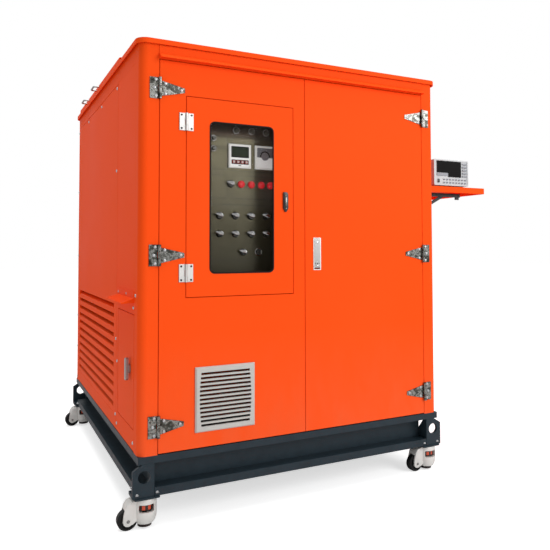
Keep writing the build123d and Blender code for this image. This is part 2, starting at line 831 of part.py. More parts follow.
def indicator_lamps():
    pieces = [lamp(x, cab_z0 + lamp_row_z, lamp_r) for x in lamp_xs]
    pieces += [lamp(x, cab_z0 + top_lamp_z, lamp_r) for x in top_lamp_xs]
    return pieces + [lamp(x, cab_z0 + z, lamp_r - 2) for x, z in side_lamps]


def selector_knob(x, z):
    """Round skirt, raised grip bar and a shaft through the panel."""
    front = panel_y - air
    skirt = rod_y(x, z, front - knob_out, front, knob_r)
    skirt = chamfer(skirt.faces().sort_by(Axis.Y)[0].edges(), 1.5)
    grip = block(x - 4, x + 4, front - knob_out - grip_out, front - knob_out + 1, z - knob_r + 1, z + knob_r - 1)
    grip = chamfer(grip.faces().sort_by(Axis.Y)[0].edges(), 2)
    shaft = rod_y(x, z, front - 2, panel_y + plate + 6, knob_shaft_r)
    nut = rod_y(x, z, panel_y + plate + air, panel_y + plate + 5, knob_shaft_r + 4)
    return skirt + grip + shaft + nut


def push_button():
    x, z = button_place()
    travel = 4.0
    cap = rod_y(x, z, panel_y - 14, panel_y - travel - air, knob_r - 2)
    cap = chamfer(cap.faces().sort_by(Axis.Y)[0].edges(), 3)
    return cap + rod_y(x, z, panel_y - travel - 2, panel_y + plate + 6, knob_shaft_r)


# ---- inside --------------------------------------------------------------------------------------
def contactors():
    """Three mounting rails of contactors on the front of the bulkhead, behind the right door."""
    pieces = []
    rail_x0 = door_mid + rail_mid_in
    rail_x1 = cab_w - rail_side_in
    for row in range(3):
        z = cab_z0 + rail_low + row * rail_pitch
        rail = block(rail_x0, rail_x1, bulkhead_y - 10, bulkhead_y, z - 18, z + 18)
        width = (rail_x1 - rail_x0) / 5
        for i in range(5):
            x = rail_x0 + width * (i + 0.5)
            rail += block(x - 36, x + 36, bulkhead_y - 100, bulkhead_y - 9, z - 44, z + 44)
            rail += block(x - 28, x + 28, bulkhead_y - 125, bulkhead_y - 99, z - 26, z + 26)
            rail += block(x - 34, x + 34, bulkhead_y - 80, bulkhead_y - 9, z - 62, z + 62)
        pieces.append(rail)
    return pieces


def chamber_depth():
    """Clear depth between the bulkhead and the rear posts."""
    return bulkhead_y + plate + seat, cab_d - post_d - seat


def chamber_middle():
    y0, y1 = chamber_depth()
    return cab_w / 2, (y0 + y1) / 2


def fan_shroud():
    """Fan deck with its inlet ring, four struts and the motor that they carry."""
    cx, cy = chamber_middle()
    z = cab_z0 + fan_z
    y0, y1 = chamber_depth()
    bore = fan_r + fan_tip_gap
    side = side_pan + seat
    deck = block(side, cab_w - side, y0, y1, z, z + plate)
    ring = rod_z(cx, cy, z - fan_ring_h, z + plate, bore + plate)
    deck = deck + ring - rod_z(cx, cy, z - fan_ring_h - 1, z + plate + 1, bore)
    strut_z = z - fan_ring_h
    for angle in (45, 135, 225, 315):
        strut = Pos((bore + motor_r) / 2 - 4, 0, 0) * Box(bore - motor_r + 12, plate * 2, 40)
        deck += Pos(cx, cy, strut_z + 20) * Rot(0, 0, angle) * strut
    motor = rod_z(cx, cy, strut_z - motor_h + 40, strut_z + 40, motor_r)
    return deck + motor + rod_z(cx, cy, strut_z + 30, strut_z + 40 + hub_h, fan_shaft_r)


def fan_impeller():
    """Hub with pitched blades, bored for the motor shaft."""
    cx, cy = chamber_middle()
    z = cab_z0 + fan_z - fan_ring_h + 40 + air
    rotor = rod_z(0, 0, 0, hub_h - 22, hub_r)
    for i in range(blade_n):
        root = Plane(origin=(hub_r - 10, 0, (hub_h - 22) / 2), x_dir=(0, 1, 0), z_dir=(1, 0, 0))
        tip = Plane(origin=(fan_r, 0, (hub_h - 22) / 2), x_dir=(0, 1, 0), z_dir=(1, 0, 0))
        inner = root * Rot(0, 0, 38) * Rectangle(70, 6)
        outer = tip * Rot(0, 0, 18) * Rectangle(110, 4)
        rotor += Rot(0, 0, 360 / blade_n * i) * loft([inner, outer])
    rotor &= rod_z(0, 0, -30, hub_h + 30, fan_r)
    rotor -= rod_z(0, 0, -40, hub_h + 40, fan_shaft_r + run_gap)
    return Pos(cx, cy, z) * rotor


def resistor_banks():
    """Three tiers of element rods between side channels that run from bulkhead to rear skin."""
    pieces = []
    y0 = bulkhead_y + plate + seat
    y1 = cab_d - side_pan - seat
    pitch = (y1 - y0) / (bank_rods + 1)
    for tier in bank_zs:
        z = cab_z0 + tier
        bank = block(bank_x0, bank_x0 + 6, y0, y1, z - 35, z + 35)
        bank += block(cab_w - bank_x0 - 6, cab_w - bank_x0, y0, y1, z - 35, z + 35)
        for i in range(bank_rods):
            y = y0 + pitch * (i + 1)
            bank += rod_x(y, z, bank_x0 - 20, cab_w - bank_x0 + 20, rod_r)
        pieces.append(bank)
    return pieces


# ---- shelf and instrument ------------------------------------------------------------------------
def shelf_levels():
    top = cab_z0 + shelf_top
    return top - shelf_h, top


def shelf_axis():
    low, _ = shelf_levels()
    return cab_w + shelf_axis_out, low - arm_h / 3


def brace_axis():
    x, z = shelf_axis()
    return cab_w + brace_out, z - brace_drop


def shelf_tray():
    """Folded tray: top sheet with a lip turned down all round."""
    low, top = shelf_levels()
    x0 = cab_w + 6
    x1 = x0 + shelf_w + 42
    tray = block(x0, x1, shelf_y0, shelf_y1, low, top)
    tray = fillet(tray.edges().filter_by(Axis.Z), 6)
    return tray - block(x0 + sheet, x1 - sheet, shelf_y0 + sheet, shelf_y1 - sheet, low - 1, top - sheet)


def shelf_arms():
    """Two arms screwed up into the tray; each is drilled for the bracket's pin."""
    low, top = shelf_levels()
    ax, az = shelf_axis()
    pieces = []
    for y in bracket_ys:
        arm = block(ax - 12, ax + arm_l, y - arm_t / 2, y + arm_t / 2, low - arm_h, top - sheet)
        arm -= block(ax + 14, ax + arm_l + 1, y - arm_t, y + arm_t, low, top)
        arm += block(ax + arm_l - 30, ax + arm_l - 8, y - arm_t / 2, y + arm_t / 2, low - arm_h - 12, low - arm_h + 1)
        arm += block(ax - 12, ax + arm_l, y - 12, y + 12, top - sheet - 3, top - sheet)
        arm -= rod_y(ax, az, y - arm_t, y + arm_t, shelf_pin_r + run_gap)
        pieces.append(arm)
    return pieces


def shelf_wall_brackets():
    """Wall plates with two ears each; the ears carry the pins of the arm and the brace."""
    ax, az = shelf_axis()
    bx, bz = brace_axis()
    low, _ = shelf_levels()
    pieces = []
    for y in bracket_ys:
        z0 = bz - 22
        z1 = az + shelf_pin_r + 1.5
        bracket = block(cab_w, cab_w + 4, y - 28, y + 28, z0, z1)
        near = y - arm_t / 2 - air - 4
        ear = prism_y([
            (cab_w + 3, z0), (bx + 8, z0), (bx + 8, bz + 12), (ax + 9, az - 16), (ax + 9, z1), (cab_w + 3, z1),
        ], near, near + 4)
        bracket += ear
        bracket += rod_y(ax, az, near, y + arm_t / 2 + air + 2, shelf_pin_r)
        bracket += rod_y(bx, bz, near, y + arm_t / 2 + brace_t + 2 * air + 2, shelf_pin_r)
        pieces.append(bracket)
    return pieces


def shelf_braces():
    """Two braces that stay up the arms; they turn on the lower pins beside the arms."""
    bx, bz = brace_axis()
    ax, az = shelf_axis()
    tip_x = bx + brace_reach
    tip_z = az - 6
    angle = degrees(atan2(tip_z - bz, brace_reach))
    length = hypot(tip_z - bz, brace_reach)
    pieces = []
    for y in bracket_ys:
        y0 = y + arm_t / 2 + air
        bar = block(0, length, 0, brace_t, -brace_w / 2, brace_w / 2)
        bar += rod_y(0, 0, 0, brace_t, brace_w / 2)
        bar += rod_y(length, 0, 0, brace_t, brace_w / 2)
        bar -= rod_y(0, 0, -1, brace_t + 1, shelf_pin_r + run_gap)
        pieces.append(Pos(bx, y0, bz) * Rot(0, -angle, 0) * bar)
    return pieces


def instrument_case():
    """Bench power analyser on four feet: a rounded case with a bezel set in round its front."""
    _, top = shelf_levels()
    x0 = cab_w + unit_x
    y0 = shelf_y0 + 8
    case = block(x0, x0 + unit_w, y0, y0 + unit_d, top + unit_feet, top + unit_h)
    case = fillet(case.edges().filter_by(Axis.Y), 6)
    case -= block(x0 + 6, x0 + unit_w - 6, y0 - 1, y0 + 3, top + unit_feet + 6, top + unit_h - 6)
    for x in (x0 + 22, x0 + unit_w - 22):
        for y in (y0 + 30, y0 + unit_d - 30):
            case += rod_z(x, y, top + air, top + unit_feet + 1, 9)
    return case


# ---- casters -------------------------------------------------------------------------------------
def caster_places():
    return {
        "front_left": (caster_in_x, caster_in_y),
        "front_right": (cab_w - caster_in_x, caster_in_y),
        "rear_left": (caster_in_x, cab_d - caster_in_y),
        "rear_right": (cab_w - caster_in_x, cab_d - caster_in_y),
    }


def wheel_axle():
    """Wheel centre from the swivel axis, and its height."""
    return -wheel_trail, wheel_r


def caster_plate():
    z1 = caster_h
    z0 = z1 - caster_plate_t
    half = caster_plate_w / 2
    top = block(-half, half, -half, half, z0, z1)
    top = fillet(top.edges().filter_by(Axis.Z), 8)
    return top + rod_z(0, 0, z0 - 14, z0 + 1, king_pin_r)


def caster_plates():
    return [Pos(x, y, 0) * caster_plate() for x, y in caster_places().values()]


def dial_window():
    """Lowest and highest level of the window round the jack dial."""
    z1 = caster_h - caster_plate_t - air - 20
    return z1 - dial_t - jack_travel - 4, z1


def caster_housing():
    """Cast drum with a dial window, and a fork for the wheel."""
    z1 = caster_h - caster_plate_t - air
    z0 = z1 - drum_h
    wx, wz = wheel_axle()
    low, high = dial_window()
    body = rod_z(0, 0, z0, z1, drum_r)
    body = chamfer(body.faces().sort_by(Axis.Z)[-1].edges(), 6)
    half = wheel_w / 2 + 2
    outer = half + cheek_t
    cheek = prism_y([
        (-drum_r * 0.55, z1 - 6), (wx * 0.75, z1 - 12), (wx - 14, wz + 12), (wx - 14, wz - 9),
        (wx + 12, wz - 13), (-drum_r * 0.55, z0 + 4),
    ], -outer, outer)
    body += cheek
    body -= block(wx - 60, wx + 60, -half, half, -1, wz)
    body -= rod_y(wx, wz, -half, half, wheel_r + 3)
    body -= block(-drum_r * 0.56, drum_r, -drum_r, drum_r, 0, z0)
    body -= rod_z(0, 0, low, high, dial_r + 2)
    body -= block(-20, 20, -drum_r - 1, drum_r + 1, low, high)
    body -= rod_z(0, 0, z0 - 30, low + 1, jack_r + 1)
    body -= rod_z(0, 0, z1 - 16, z1 + 1, king_pin_r + run_gap)
    axle = rod_y(wx, wz, -outer - 2, outer + 2, axle_r)
    return body + axle


def caster_wheel():
    wx, wz = wheel_axle()
    wheel = rod_y(wx, wz, -wheel_w / 2, wheel_w / 2, wheel_r)
    wheel = chamfer(wheel.edges().filter_by(GeomType.CIRCLE), 4)
    for side in (-1, 1):
        y = side * wheel_w / 2
        wheel -= rod_y(wx, wz, min(y, y - side * 4), max(y, y - side * 4), wheel_r - 9)
    wheel += rod_y(wx, wz, -wheel_w / 2, wheel_w / 2, axle_r + 6)
    return wheel - rod_y(wx, wz, -wheel_w, wheel_w, axle_r + run_gap)


def caster_jack():
    """Ratchet dial, screw and foot pad."""
    low, high = dial_window()
    top = high - air
    dial = rod_z(0, 0, top - dial_t, top, dial_r)
    for i in range(10):
        dial -= Rot(0, 0, 36 * i) * rod_z(dial_r + 2, 0, top - dial_t - 1, top + 1, 6)
    screw = rod_z(0, 0, pad_lift + 5, top - 1, jack_r)
    pad = Pos(0, 0, pad_lift + 5) * Cylinder(pad_r, 10)
    pad = chamfer(pad.faces().sort_by(Axis.Z)[-1].edges(), 5)
    return dial + screw + pad


# ---- everything in its node ----------------------------------------------------------------------
def all_parts():
    parts = {
        "base_frame": base_frame(),
        "lifting_posts": lifting_posts(),
        "caster_plates": caster_plates(),
        "cabinet_frame": cabinet_frame(),
        "roof_panel": roof_panel(),
        "rear_panels": rear_panels(),
        "left_side_panels": [cable_panel(), louvre_panel()],
        "right_side_panel": right_side_panel(),
        "rain_hoods": rain_hoods(),
        "control_panel": control_panel(),
        "panel_meters": panel_meters(),
        "indicator_lamps": indicator_lamps(),
        "door_hinge_leaves": door_hinge_leaves(),
        "resistor_banks": resistor_banks(),
        "contactors": contactors(),
        "fan_shroud": fan_shroud(),
        "fan_impeller": fan_impeller(),
        "left_door_panel": left_door_panel(),
        "left_door_straps": left_door_straps(),
        "vent_grille": vent_grille(),
        "window_hinge_leaves": [butt_fixed(cab_z0 + z) for z in butt_zs],
        "window_door_panel": window_door_panel(),
        "window_glass": window_glass(),
        "window_door_hinges": [butt_moving(cab_z0 + z) for z in butt_zs],
        "window_latch": window_latch(),
        "right_door_panel": right_door_panel(),
        "right_door_straps": right_door_straps(),
        "door_lock_paddle": door_lock_paddle(),
        "cable_door_panel": cable_door_panel(),
        "cable_door_handle": cable_door_handle(),
        "exhaust_hatch": exhaust_hatch(),
        "hatch_handles": hatch_handles(),
        "shelf_wall_brackets": shelf_wall_brackets(),
        "shelf_tray": shelf_tray(),
        "shelf_arms": shelf_arms(),
        "shelf_braces": shelf_braces(),
        "instrument_case": instrument_case(),
        "push_button": push_button(),
    }
    for i, (x, z) in enumerate(selector_places(), start=1):
        parts[f"selector_knob_{i}"] = selector_knob(x, z)
    for name, (x, y) in caster_places().items():
        parts[f"caster_housing_{name}"] = Pos(x, y, 0) * caster_housing()
        parts[f"caster_wheel_{name}"] = Pos(x, y, 0) * caster_wheel()
        parts[f"caster_jack_{name}"] = Pos(x, y, 0) * caster_jack()
    return parts


def footprint_shift(parts):
    """The move that brings the middle of the whole footprint to the origin."""
    boxes = []
    for piece in parts.values():
        solids = piece if isinstance(piece, list) else [piece]
        boxes += [solid.bounding_box() for solid in solids]
    x = (min(b.min.X for b in boxes) + max(b.max.X for b in boxes)) / 2
    y = (min(b.min.Y for b in boxes) + max(b.max.Y for b in boxes)) / 2
    return -x, -y


parts = all_parts()
shift_x, shift_y = footprint_shift(parts)
print("footprint shift", shift_x, shift_y)
for name, piece in parts.items():
    whole = Compound(children=list(piece)) if isinstance(piece, list) else piece
    export_step(Pos(shift_x, shift_y, 0) * whole, f"parts/{name}.step")
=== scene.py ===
import math
import bmesh
import bpy
from mathutils import Matrix, Vector


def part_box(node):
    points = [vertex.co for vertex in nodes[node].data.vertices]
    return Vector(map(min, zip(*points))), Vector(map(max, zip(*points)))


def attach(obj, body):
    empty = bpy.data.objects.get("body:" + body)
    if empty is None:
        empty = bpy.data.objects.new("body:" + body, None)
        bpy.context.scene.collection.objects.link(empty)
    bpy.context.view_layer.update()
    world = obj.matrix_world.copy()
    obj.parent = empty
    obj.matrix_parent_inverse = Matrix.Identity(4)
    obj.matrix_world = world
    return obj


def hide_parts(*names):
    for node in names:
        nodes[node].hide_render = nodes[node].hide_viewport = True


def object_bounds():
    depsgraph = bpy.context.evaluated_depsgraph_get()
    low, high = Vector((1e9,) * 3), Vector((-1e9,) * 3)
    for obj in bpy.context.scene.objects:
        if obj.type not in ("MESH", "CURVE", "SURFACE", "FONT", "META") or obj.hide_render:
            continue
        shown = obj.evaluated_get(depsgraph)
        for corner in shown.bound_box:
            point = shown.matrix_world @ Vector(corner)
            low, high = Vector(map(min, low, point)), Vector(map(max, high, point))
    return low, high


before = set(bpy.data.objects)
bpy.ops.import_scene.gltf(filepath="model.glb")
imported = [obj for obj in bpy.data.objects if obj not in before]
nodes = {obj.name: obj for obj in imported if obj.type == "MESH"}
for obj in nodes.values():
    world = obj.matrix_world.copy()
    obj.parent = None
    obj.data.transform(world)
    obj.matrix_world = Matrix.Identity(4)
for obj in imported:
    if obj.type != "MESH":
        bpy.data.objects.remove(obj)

cad_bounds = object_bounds()

# ---- Camera ------------------------------------------------------------------------------------------
# A standing viewer in front of the left corner, a step away, looking along the door face.
# The place is measured, in metres, from the cabinet's front left foot, so it follows the cabinet.
shell_low, shell_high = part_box("cabinet_frame")
eye_from_foot = Vector((-0.509, -2.161, 0.735))
eye = shell_low + eye_from_foot
eye_yaw = -0.4611
eye_pitch = 0.0377
eye_roll = 0.0023
camera = bpy.data.objects.new("eye", bpy.data.cameras.new("eye"))
bpy.context.scene.collection.objects.link(camera)
turn = Matrix.Rotation(eye_yaw, 4, "Z") @ Matrix.Rotation(eye_pitch, 4, "X")
turn = turn @ Matrix.Rotation(eye_roll, 4, "Y")
camera.matrix_world = Matrix.Translation(eye) @ turn @ Matrix.Rotation(math.pi / 2, 4, "X")
camera.data.sensor_width = 36
camera.data.lens = 39.7
camera.data.shift_x = -0.0109
camera.data.shift_y = -0.0893
bpy.context.scene.camera = camera
bpy.context.scene.view_settings.view_transform = "Standard"


# ---- Floor and studio light --------------------------------------------------------------------------
# A white paper floor, two large soft boxes and an even white room. The room is pure white to the eye
# and through glass, a little dimmer in reflections, and lights the cabinet at a plain level.
class Flow:
    """A shader socket that can be used in plain arithmetic."""

    def __init__(self, tree, socket):
        self.tree = tree
        self.socket = socket

    def math(self, kind, other=None, swap=False):
        sockets = {0: other, 1: self} if swap else {0: self, 1: other}
        if other is None:
            sockets = {0: self}
        return node(self.tree, "ShaderNodeMath", {"operation": kind}, sockets)

    def __add__(self, other):
        return self.math("ADD", other)

    def __radd__(self, other):
        return self.math("ADD", other)

    def __sub__(self, other):
        return self.math("SUBTRACT", other)

    def __rsub__(self, other):
        return self.math("SUBTRACT", other, swap=True)

    def __mul__(self, other):
        return self.math("MULTIPLY", other)

    def __rmul__(self, other):
        return self.math("MULTIPLY", other)

    def __truediv__(self, other):
        return self.math("DIVIDE", other)

    def __gt__(self, other):
        return self.math("GREATER_THAN", other)

    def __lt__(self, other):
        return self.math("LESS_THAN", other)


def node(tree, kind, settings=None, sockets=None, out=0):
    """One shader node: its settings first, then the values or links of its sockets."""
    made = tree.nodes.new(kind)
    for key, value in (settings or {}).items():
        if key == "stops":
            while len(made.color_ramp.elements) < len(value):
                made.color_ramp.elements.new(0.5)
            for element, (place, shade) in zip(made.color_ramp.elements, value):
                element.position = place
                element.color = (*shade, 1)
        else:
            setattr(made, key, value)
    for key, value in (sockets or {}).items():
        if isinstance(value, Flow):
            tree.links.new(value.socket, made.inputs[key])
        else:
            made.inputs[key].default_value = value
    return Flow(tree, made.outputs[out])


def blend_colours(tree, share, first, second):
    """Mix two colours by a mask."""
    made = tree.nodes.new("ShaderNodeMix")
    made.data_type = "RGBA"
    for place, value in ((0, share), (6, first), (7, second)):
        if isinstance(value, Flow):
            tree.links.new(value.socket, made.inputs[place])
        else:
            made.inputs[place].default_value = value if place == 0 else (*value[:3], 1)
    return Flow(tree, made.outputs[2])


def room_world(reflected, lighting):
    """A white room, shown at full level to the eye and dimmer to reflections and to plain light."""
    world = bpy.data.worlds.new("room")
    bpy.context.scene.world = world
    world.use_nodes = True
    tree = world.node_tree
    tree.nodes.clear()
    rays = tree.nodes.new("ShaderNodeLightPath")
    through = Flow(tree, rays.outputs["Is Transmission Ray"])
    seen = Flow(tree, rays.outputs["Is Camera Ray"]).math("MAXIMUM", through)
    shiny = Flow(tree, rays.outputs["Is Glossy Ray"])
    level = seen.math("MAXIMUM", shiny * reflected)
    strength = level + (1 - level) * lighting
    light = node(tree, "ShaderNodeBackground", None, {"Color": (1, 1, 1, 1), "Strength": strength})
    tree.links.new(light.socket, tree.nodes.new("ShaderNodeOutputWorld").inputs[0])


room_world(0.58, 0.50)


def soft_box(name, place, aim, size, power):
    """A rectangular lamp, its size in metres and its power in watts."""
    lamp = bpy.data.objects.new(name, bpy.data.lights.new(name, "AREA"))
    lamp.data.shape = "RECTANGLE"
    lamp.data.size = size[0]
    lamp.data.size_y = size[1]
    lamp.data.energy = power
    lamp.location = place
    lamp.rotation_euler = (aim - Vector(place)).to_track_quat("-Z", "Y").to_euler()
    bpy.context.scene.collection.objects.link(lamp)


middle = (cad_bounds[0] + cad_bounds[1]) / 2
soft_box("front_box", (2.2, -4.4, 2.6), middle, (3.0, 2.4), 120)
soft_box("top_box", (-0.6, -0.2, 4.6), middle, (3.0, 3.0), 120)

floor_half = 30.0
bm = bmesh.new()
bmesh.ops.create_grid(bm, x_segments=1, y_segments=1, size=floor_half)
floor_mesh = bpy.data.meshes.new("floor")
bm.to_mesh(floor_mesh)
bm.free()
floor = bpy.data.objects.new("floor", floor_mesh)
bpy.context.scene.collection.objects.link(floor)


def paper_floor():
    """White to the eye and in reflections, keeping the cabinet's contact shadow."""
    paper = bpy.data.materials.new("white_paper")
    paper.use_nodes = True
    tree = paper.node_tree
    tree.nodes.clear()
    diffuse = node(tree, "ShaderNodeBsdfDiffuse", None, {"Color": (0.86, 0.86, 0.86, 1)})
    glow = node(tree, "ShaderNodeEmission", None, {"Color": (1, 1, 1, 1), "Strength": 0.62})
    rays = tree.nodes.new("ShaderNodeLightPath")
    seen = Flow(tree, rays.outputs["Is Camera Ray"])
    black = node(tree, "ShaderNodeEmission", None, {"Color": (0, 0, 0, 1), "Strength": 0.0})
    extra = node(tree, "ShaderNodeMixShader", None, {0: seen, 1: black, 2: glow})
    both = node(tree, "ShaderNodeAddShader", None, {0: diffuse, 1: extra})
    tree.links.new(both.socket, tree.nodes.new("ShaderNodeOutputMaterial").inputs[0])
    return paper


floor_mesh.materials.append(paper_floor())


# ---- Powder-coated sheet steel -----------------------------------------------------------------------
# Roof, posts, doors, skins, hoods, hatch and shelf are folded steel sheet, powder coated in one gloss
# orange: a faint orange peel, slow patches of gloss and a little dust low on the sheet.
paint_orange = (0.980, 0.082, 0.0085)
paint_pale = (0.90, 0.16, 0.035)
orange_dust = (0.55, 0.25, 0.14)


def surface(name, base, rough, metal=0.0, specular=0.5):
    """A Principled surface with its fixed values set on the shader's own sockets."""
    material = bpy.data.materials.new(name)
    material.use_nodes = True
    tree = material.node_tree
    shader = tree.nodes["Principled BSDF"]
    shader.inputs["Base Color"].default_value = (*base[:3], 1)
    shader.inputs["Roughness"].default_value = rough
    shader.inputs["Metallic"].default_value = metal
    shader.inputs["Specular IOR Level"].default_value = specular
    return material, tree, shader


def place_of(tree):
    """Where a point lies on its own piece."""
    return Flow(tree, tree.nodes.new("ShaderNodeTexCoord").outputs["Object"])


def noise(tree, scale, detail=2.0, rough=0.5, stretch=(1, 1, 1)):
    """Soft random patches, stretched along the piece's own axes."""
    spot = node(tree, "ShaderNodeMapping", None, {"Vector": place_of(tree), "Scale": stretch})
    sockets = {"Vector": spot, "Scale": scale, "Detail": detail, "Roughness": rough}
    return node(tree, "ShaderNodeTexNoise", None, sockets)


def height_of(tree):
    """How high a point lies above the ground."""
    return node(tree, "ShaderNodeSeparateXYZ", None, {0: place_of(tree)}, out=2)


def feed(tree, shader, socket, flow):
    tree.links.new(flow.socket, shader.inputs[socket])


def raise_surface(tree, shader, height, distance, strength):
    """Raise a surface by a mask, over a distance in metres."""
    sockets = {"Height": height, "Distance": distance, "Strength": strength}
    feed(tree, shader, "Normal", node(tree, "ShaderNodeBump", None, sockets))


def powder_coat(name, colour, pale, dusty):
    """Gloss powder coat that shades to a paler tone and gathers dust near the ground."""
    material, tree, shader = surface(name, colour, 0.44, specular=0.018)
    patches = noise(tree, 2.2, 3.0)
    peel = noise(tree, 420.0, 1.0)
    grime = noise(tree, 14.0, 4.0, 0.6, (1, 1, 0.3))
    low_down = (1 - (height_of(tree) - shell_low.z) * 2.4).math("MAXIMUM", 0.0)
    dust = (low_down * grime * 0.22).math("MINIMUM", 0.2)
    body = blend_colours(tree, (patches - 0.42) * 0.16, colour, pale)
    feed(tree, shader, "Base Color", blend_colours(tree, dust, body, dusty))
    feed(tree, shader, "Roughness", 0.38 + patches * 0.16 + dust * 0.5)
    raise_surface(tree, shader, peel, 0.0004, 0.22)
    return material


def finish_nodes(material, *names):
    """Give CAD nodes their finish through their own material slots."""
    for name in names:
        mesh = nodes[name].data
        if mesh.materials:
            for place in range(len(mesh.materials)):
                mesh.materials[place] = material
        else:
            mesh.materials.append(material)


orange = powder_coat("orange_powder_coat", paint_orange, paint_pale, orange_dust)
finish_nodes(orange, "cabinet_frame", "roof_panel", "rear_panels", "left_side_panels", "right_side_panel")
finish_nodes(orange, "left_door_panel", "window_door_panel", "right_door_panel", "cable_door_panel")
finish_nodes(orange, "rain_hoods", "exhaust_hatch", "shelf_tray")


# ---- Base frame --------------------------------------------------------------------------------------
# Two long and several cross channels, welded, with a lifting post at each corner and the caster plates
# bolted below. All of it is brushed with dark blue-grey enamel over mill scale.
def blue_grey_enamel():
    material, tree, shader = surface("blue_grey_enamel", (0.016, 0.028, 0.036), 0.42, specular=0.22)
    mill = noise(tree, 26.0, 4.0, 0.6)
    fine = noise(tree, 180.0, 2.0)
    feed(tree, shader, "Base Color", blend_colours(tree, mill, (0.010, 0.018, 0.024), (0.022, 0.038, 0.050)))
    feed(tree, shader, "Roughness", 0.30 + mill * 0.28)
    raise_surface(tree, shader, mill + fine * 0.4, 0.0006, 0.4)
    return material


finish_nodes(blue_grey_enamel(), "base_frame", "lifting_posts", "caster_plates")


# ---- Stainless hinges, zinc castings and other bare metal --------------------------------------------
# Strap hinges are pressed from stainless sheet, their face painted with dark and bright patches that stand
# for reflections; the small hinges, the caster housings and the fan are castings; the lock, lever and
# hatch handles are satin chrome.
def grained_steel(name, colour, rough, grain, stretch):
    """Polished or plated steel with a fine grain that runs along one axis."""
    material, tree, shader = surface(name, colour, rough, metal=1.0)
    streak = noise(tree, grain, 3.0, 0.6, stretch)
    cloud = noise(tree, 9.0, 2.0)
    shade = tuple(c * 0.62 for c in colour)
    feed(tree, shader, "Base Color", blend_colours(tree, streak * 0.5 + cloud * 0.3, colour, shade))
    feed(tree, shader, "Roughness", rough + streak * 0.16)
    raise_surface(tree, shader, streak, 0.0002, 0.3)
    return material


def blasted_casting(name, colour, rough, metal):
    """A shot-blasted casting: pitted, with slow clouds of tone."""
    material, tree, shader = surface(name, colour, rough, metal=metal)
    pits = noise(tree, 700.0, 2.0)
    cloud = noise(tree, 30.0, 3.0)
    shade = tuple(c * 0.82 for c in colour)
    feed(tree, shader, "Base Color", blend_colours(tree, cloud, colour, shade))
    feed(tree, shader, "Roughness", rough + cloud * 0.12)
    raise_surface(tree, shader, pits, 0.0003, 0.35)
    return material


# The strap hinges' colour swings between near black and pale grey in patches: painted reflections of a dark
# room and bright lamps.
stainless, tree, shader = surface("stainless_sheet", (0.30, 0.30, 0.28), 0.22, metal=1.0)
painted_reflection_cloud = noise(tree, 38.0, 4.0, 0.65)
painted_reflection_tone = node(tree, "ShaderNodeValToRGB", {"stops": (
    (0.32, (0.022, 0.022, 0.018)), (0.46, (0.08, 0.08, 0.07)), (0.54, (0.30, 0.30, 0.28)),
    (0.60, (0.06, 0.06, 0.052)), (0.74, (0.36, 0.36, 0.34)))}, {0: painted_reflection_cloud})
feed(tree, shader, "Base Color", painted_reflection_tone)
feed(tree, shader, "Roughness", 0.16 + painted_reflection_cloud * 0.2)
raise_surface(tree, shader, painted_reflection_cloud, 0.0006, 0.2)
satin_chrome = grained_steel("satin_chrome", (0.42, 0.41, 0.40), 0.24, 120.0, (1, 1, 4))
zinc_plate = grained_steel("zinc_plate", (0.55, 0.56, 0.57), 0.34, 40.0, (1, 1, 1))
cast_zinc = blasted_casting("cast_zinc", (0.66, 0.65, 0.63), 0.38, 0.75)
cast_aluminium = blasted_casting("cast_aluminium", (0.78, 0.77, 0.74), 0.42, 0.25)
black_steel = blasted_casting("black_zinc_steel", (0.020, 0.020, 0.022), 0.38, 0.4)
element_steel = grained_steel("heat_tinted_steel", (0.28, 0.23, 0.19), 0.40, 30.0, (4, 1, 1))
finish_nodes(stainless, "door_hinge_leaves", "left_door_straps", "right_door_straps")
finish_nodes(satin_chrome, "window_latch", "door_lock_paddle", "cable_door_handle", "hatch_handles")
finish_nodes(zinc_plate, "fan_shroud")
finish_nodes(cast_zinc, "window_hinge_leaves", "window_door_hinges")
finish_nodes(black_steel, "shelf_wall_brackets", "shelf_arms", "shelf_braces")
finish_nodes(element_steel, "resistor_banks")
corners = ("front_left", "front_right", "rear_left", "rear_right")
finish_nodes(cast_aluminium, "fan_impeller", *[f"caster_housing_{corner}" for corner in corners])


# ---- Moulded plastics --------------------------------------------------------------------------------
# Contactors, wheels and the vent grille are injection moulded, black or white; the mould leaves each
# with a fine spark-eroded texture.
def moulded(name, colour, rough, grain=900.0, specular=0.5):
    material, tree, shader = surface(name, colour, rough, specular=specular)
    texture = noise(tree, grain, 2.0)
    cloud = noise(tree, 18.0, 2.0)
    shade = tuple(c * 0.86 for c in colour)
    feed(tree, shader, "Base Color", blend_colours(tree, cloud, colour, shade))
    feed(tree, shader, "Roughness", rough + cloud * 0.1)
    raise_surface(tree, shader, texture, 0.0002, 0.25)
    return material


black_plastic = moulded("black_plastic", (0.012, 0.012, 0.013), 0.28)
nylon = moulded("black_nylon", (0.008, 0.008, 0.008), 0.45, specular=0.2)
white_plastic = moulded("white_plastic", (0.55, 0.55, 0.52), 0.42, specular=0.3)
switch_count = 10
knobs = [f"selector_knob_{number}" for number in range(1, switch_count + 1)]
finish_nodes(black_plastic, "push_button", "contactors", *knobs)
finish_nodes(nylon, *[f"caster_wheel_{corner}" for corner in corners])
finish_nodes(white_plastic, "vent_grille")


# ---- Fasteners ---------------------------------------------------------------------------------------
# Zinc-plated pan head screws, each with a small socket, hold the side and rear skins and the hood
# over the cable door. They stand about three millimetres proud of the sheet.
def cab(x, y, z):
    """Metres for a point given in millimetres from the cabinet's front left foot."""
    return shell_low + Vector((x, y, z)) / 1000


def box_mm(name):
    """Both corners of a CAD node in millimetres from the cabinet's front left foot."""
    low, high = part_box(name)
    return (low - shell_low) * 1000, (high - shell_low) * 1000


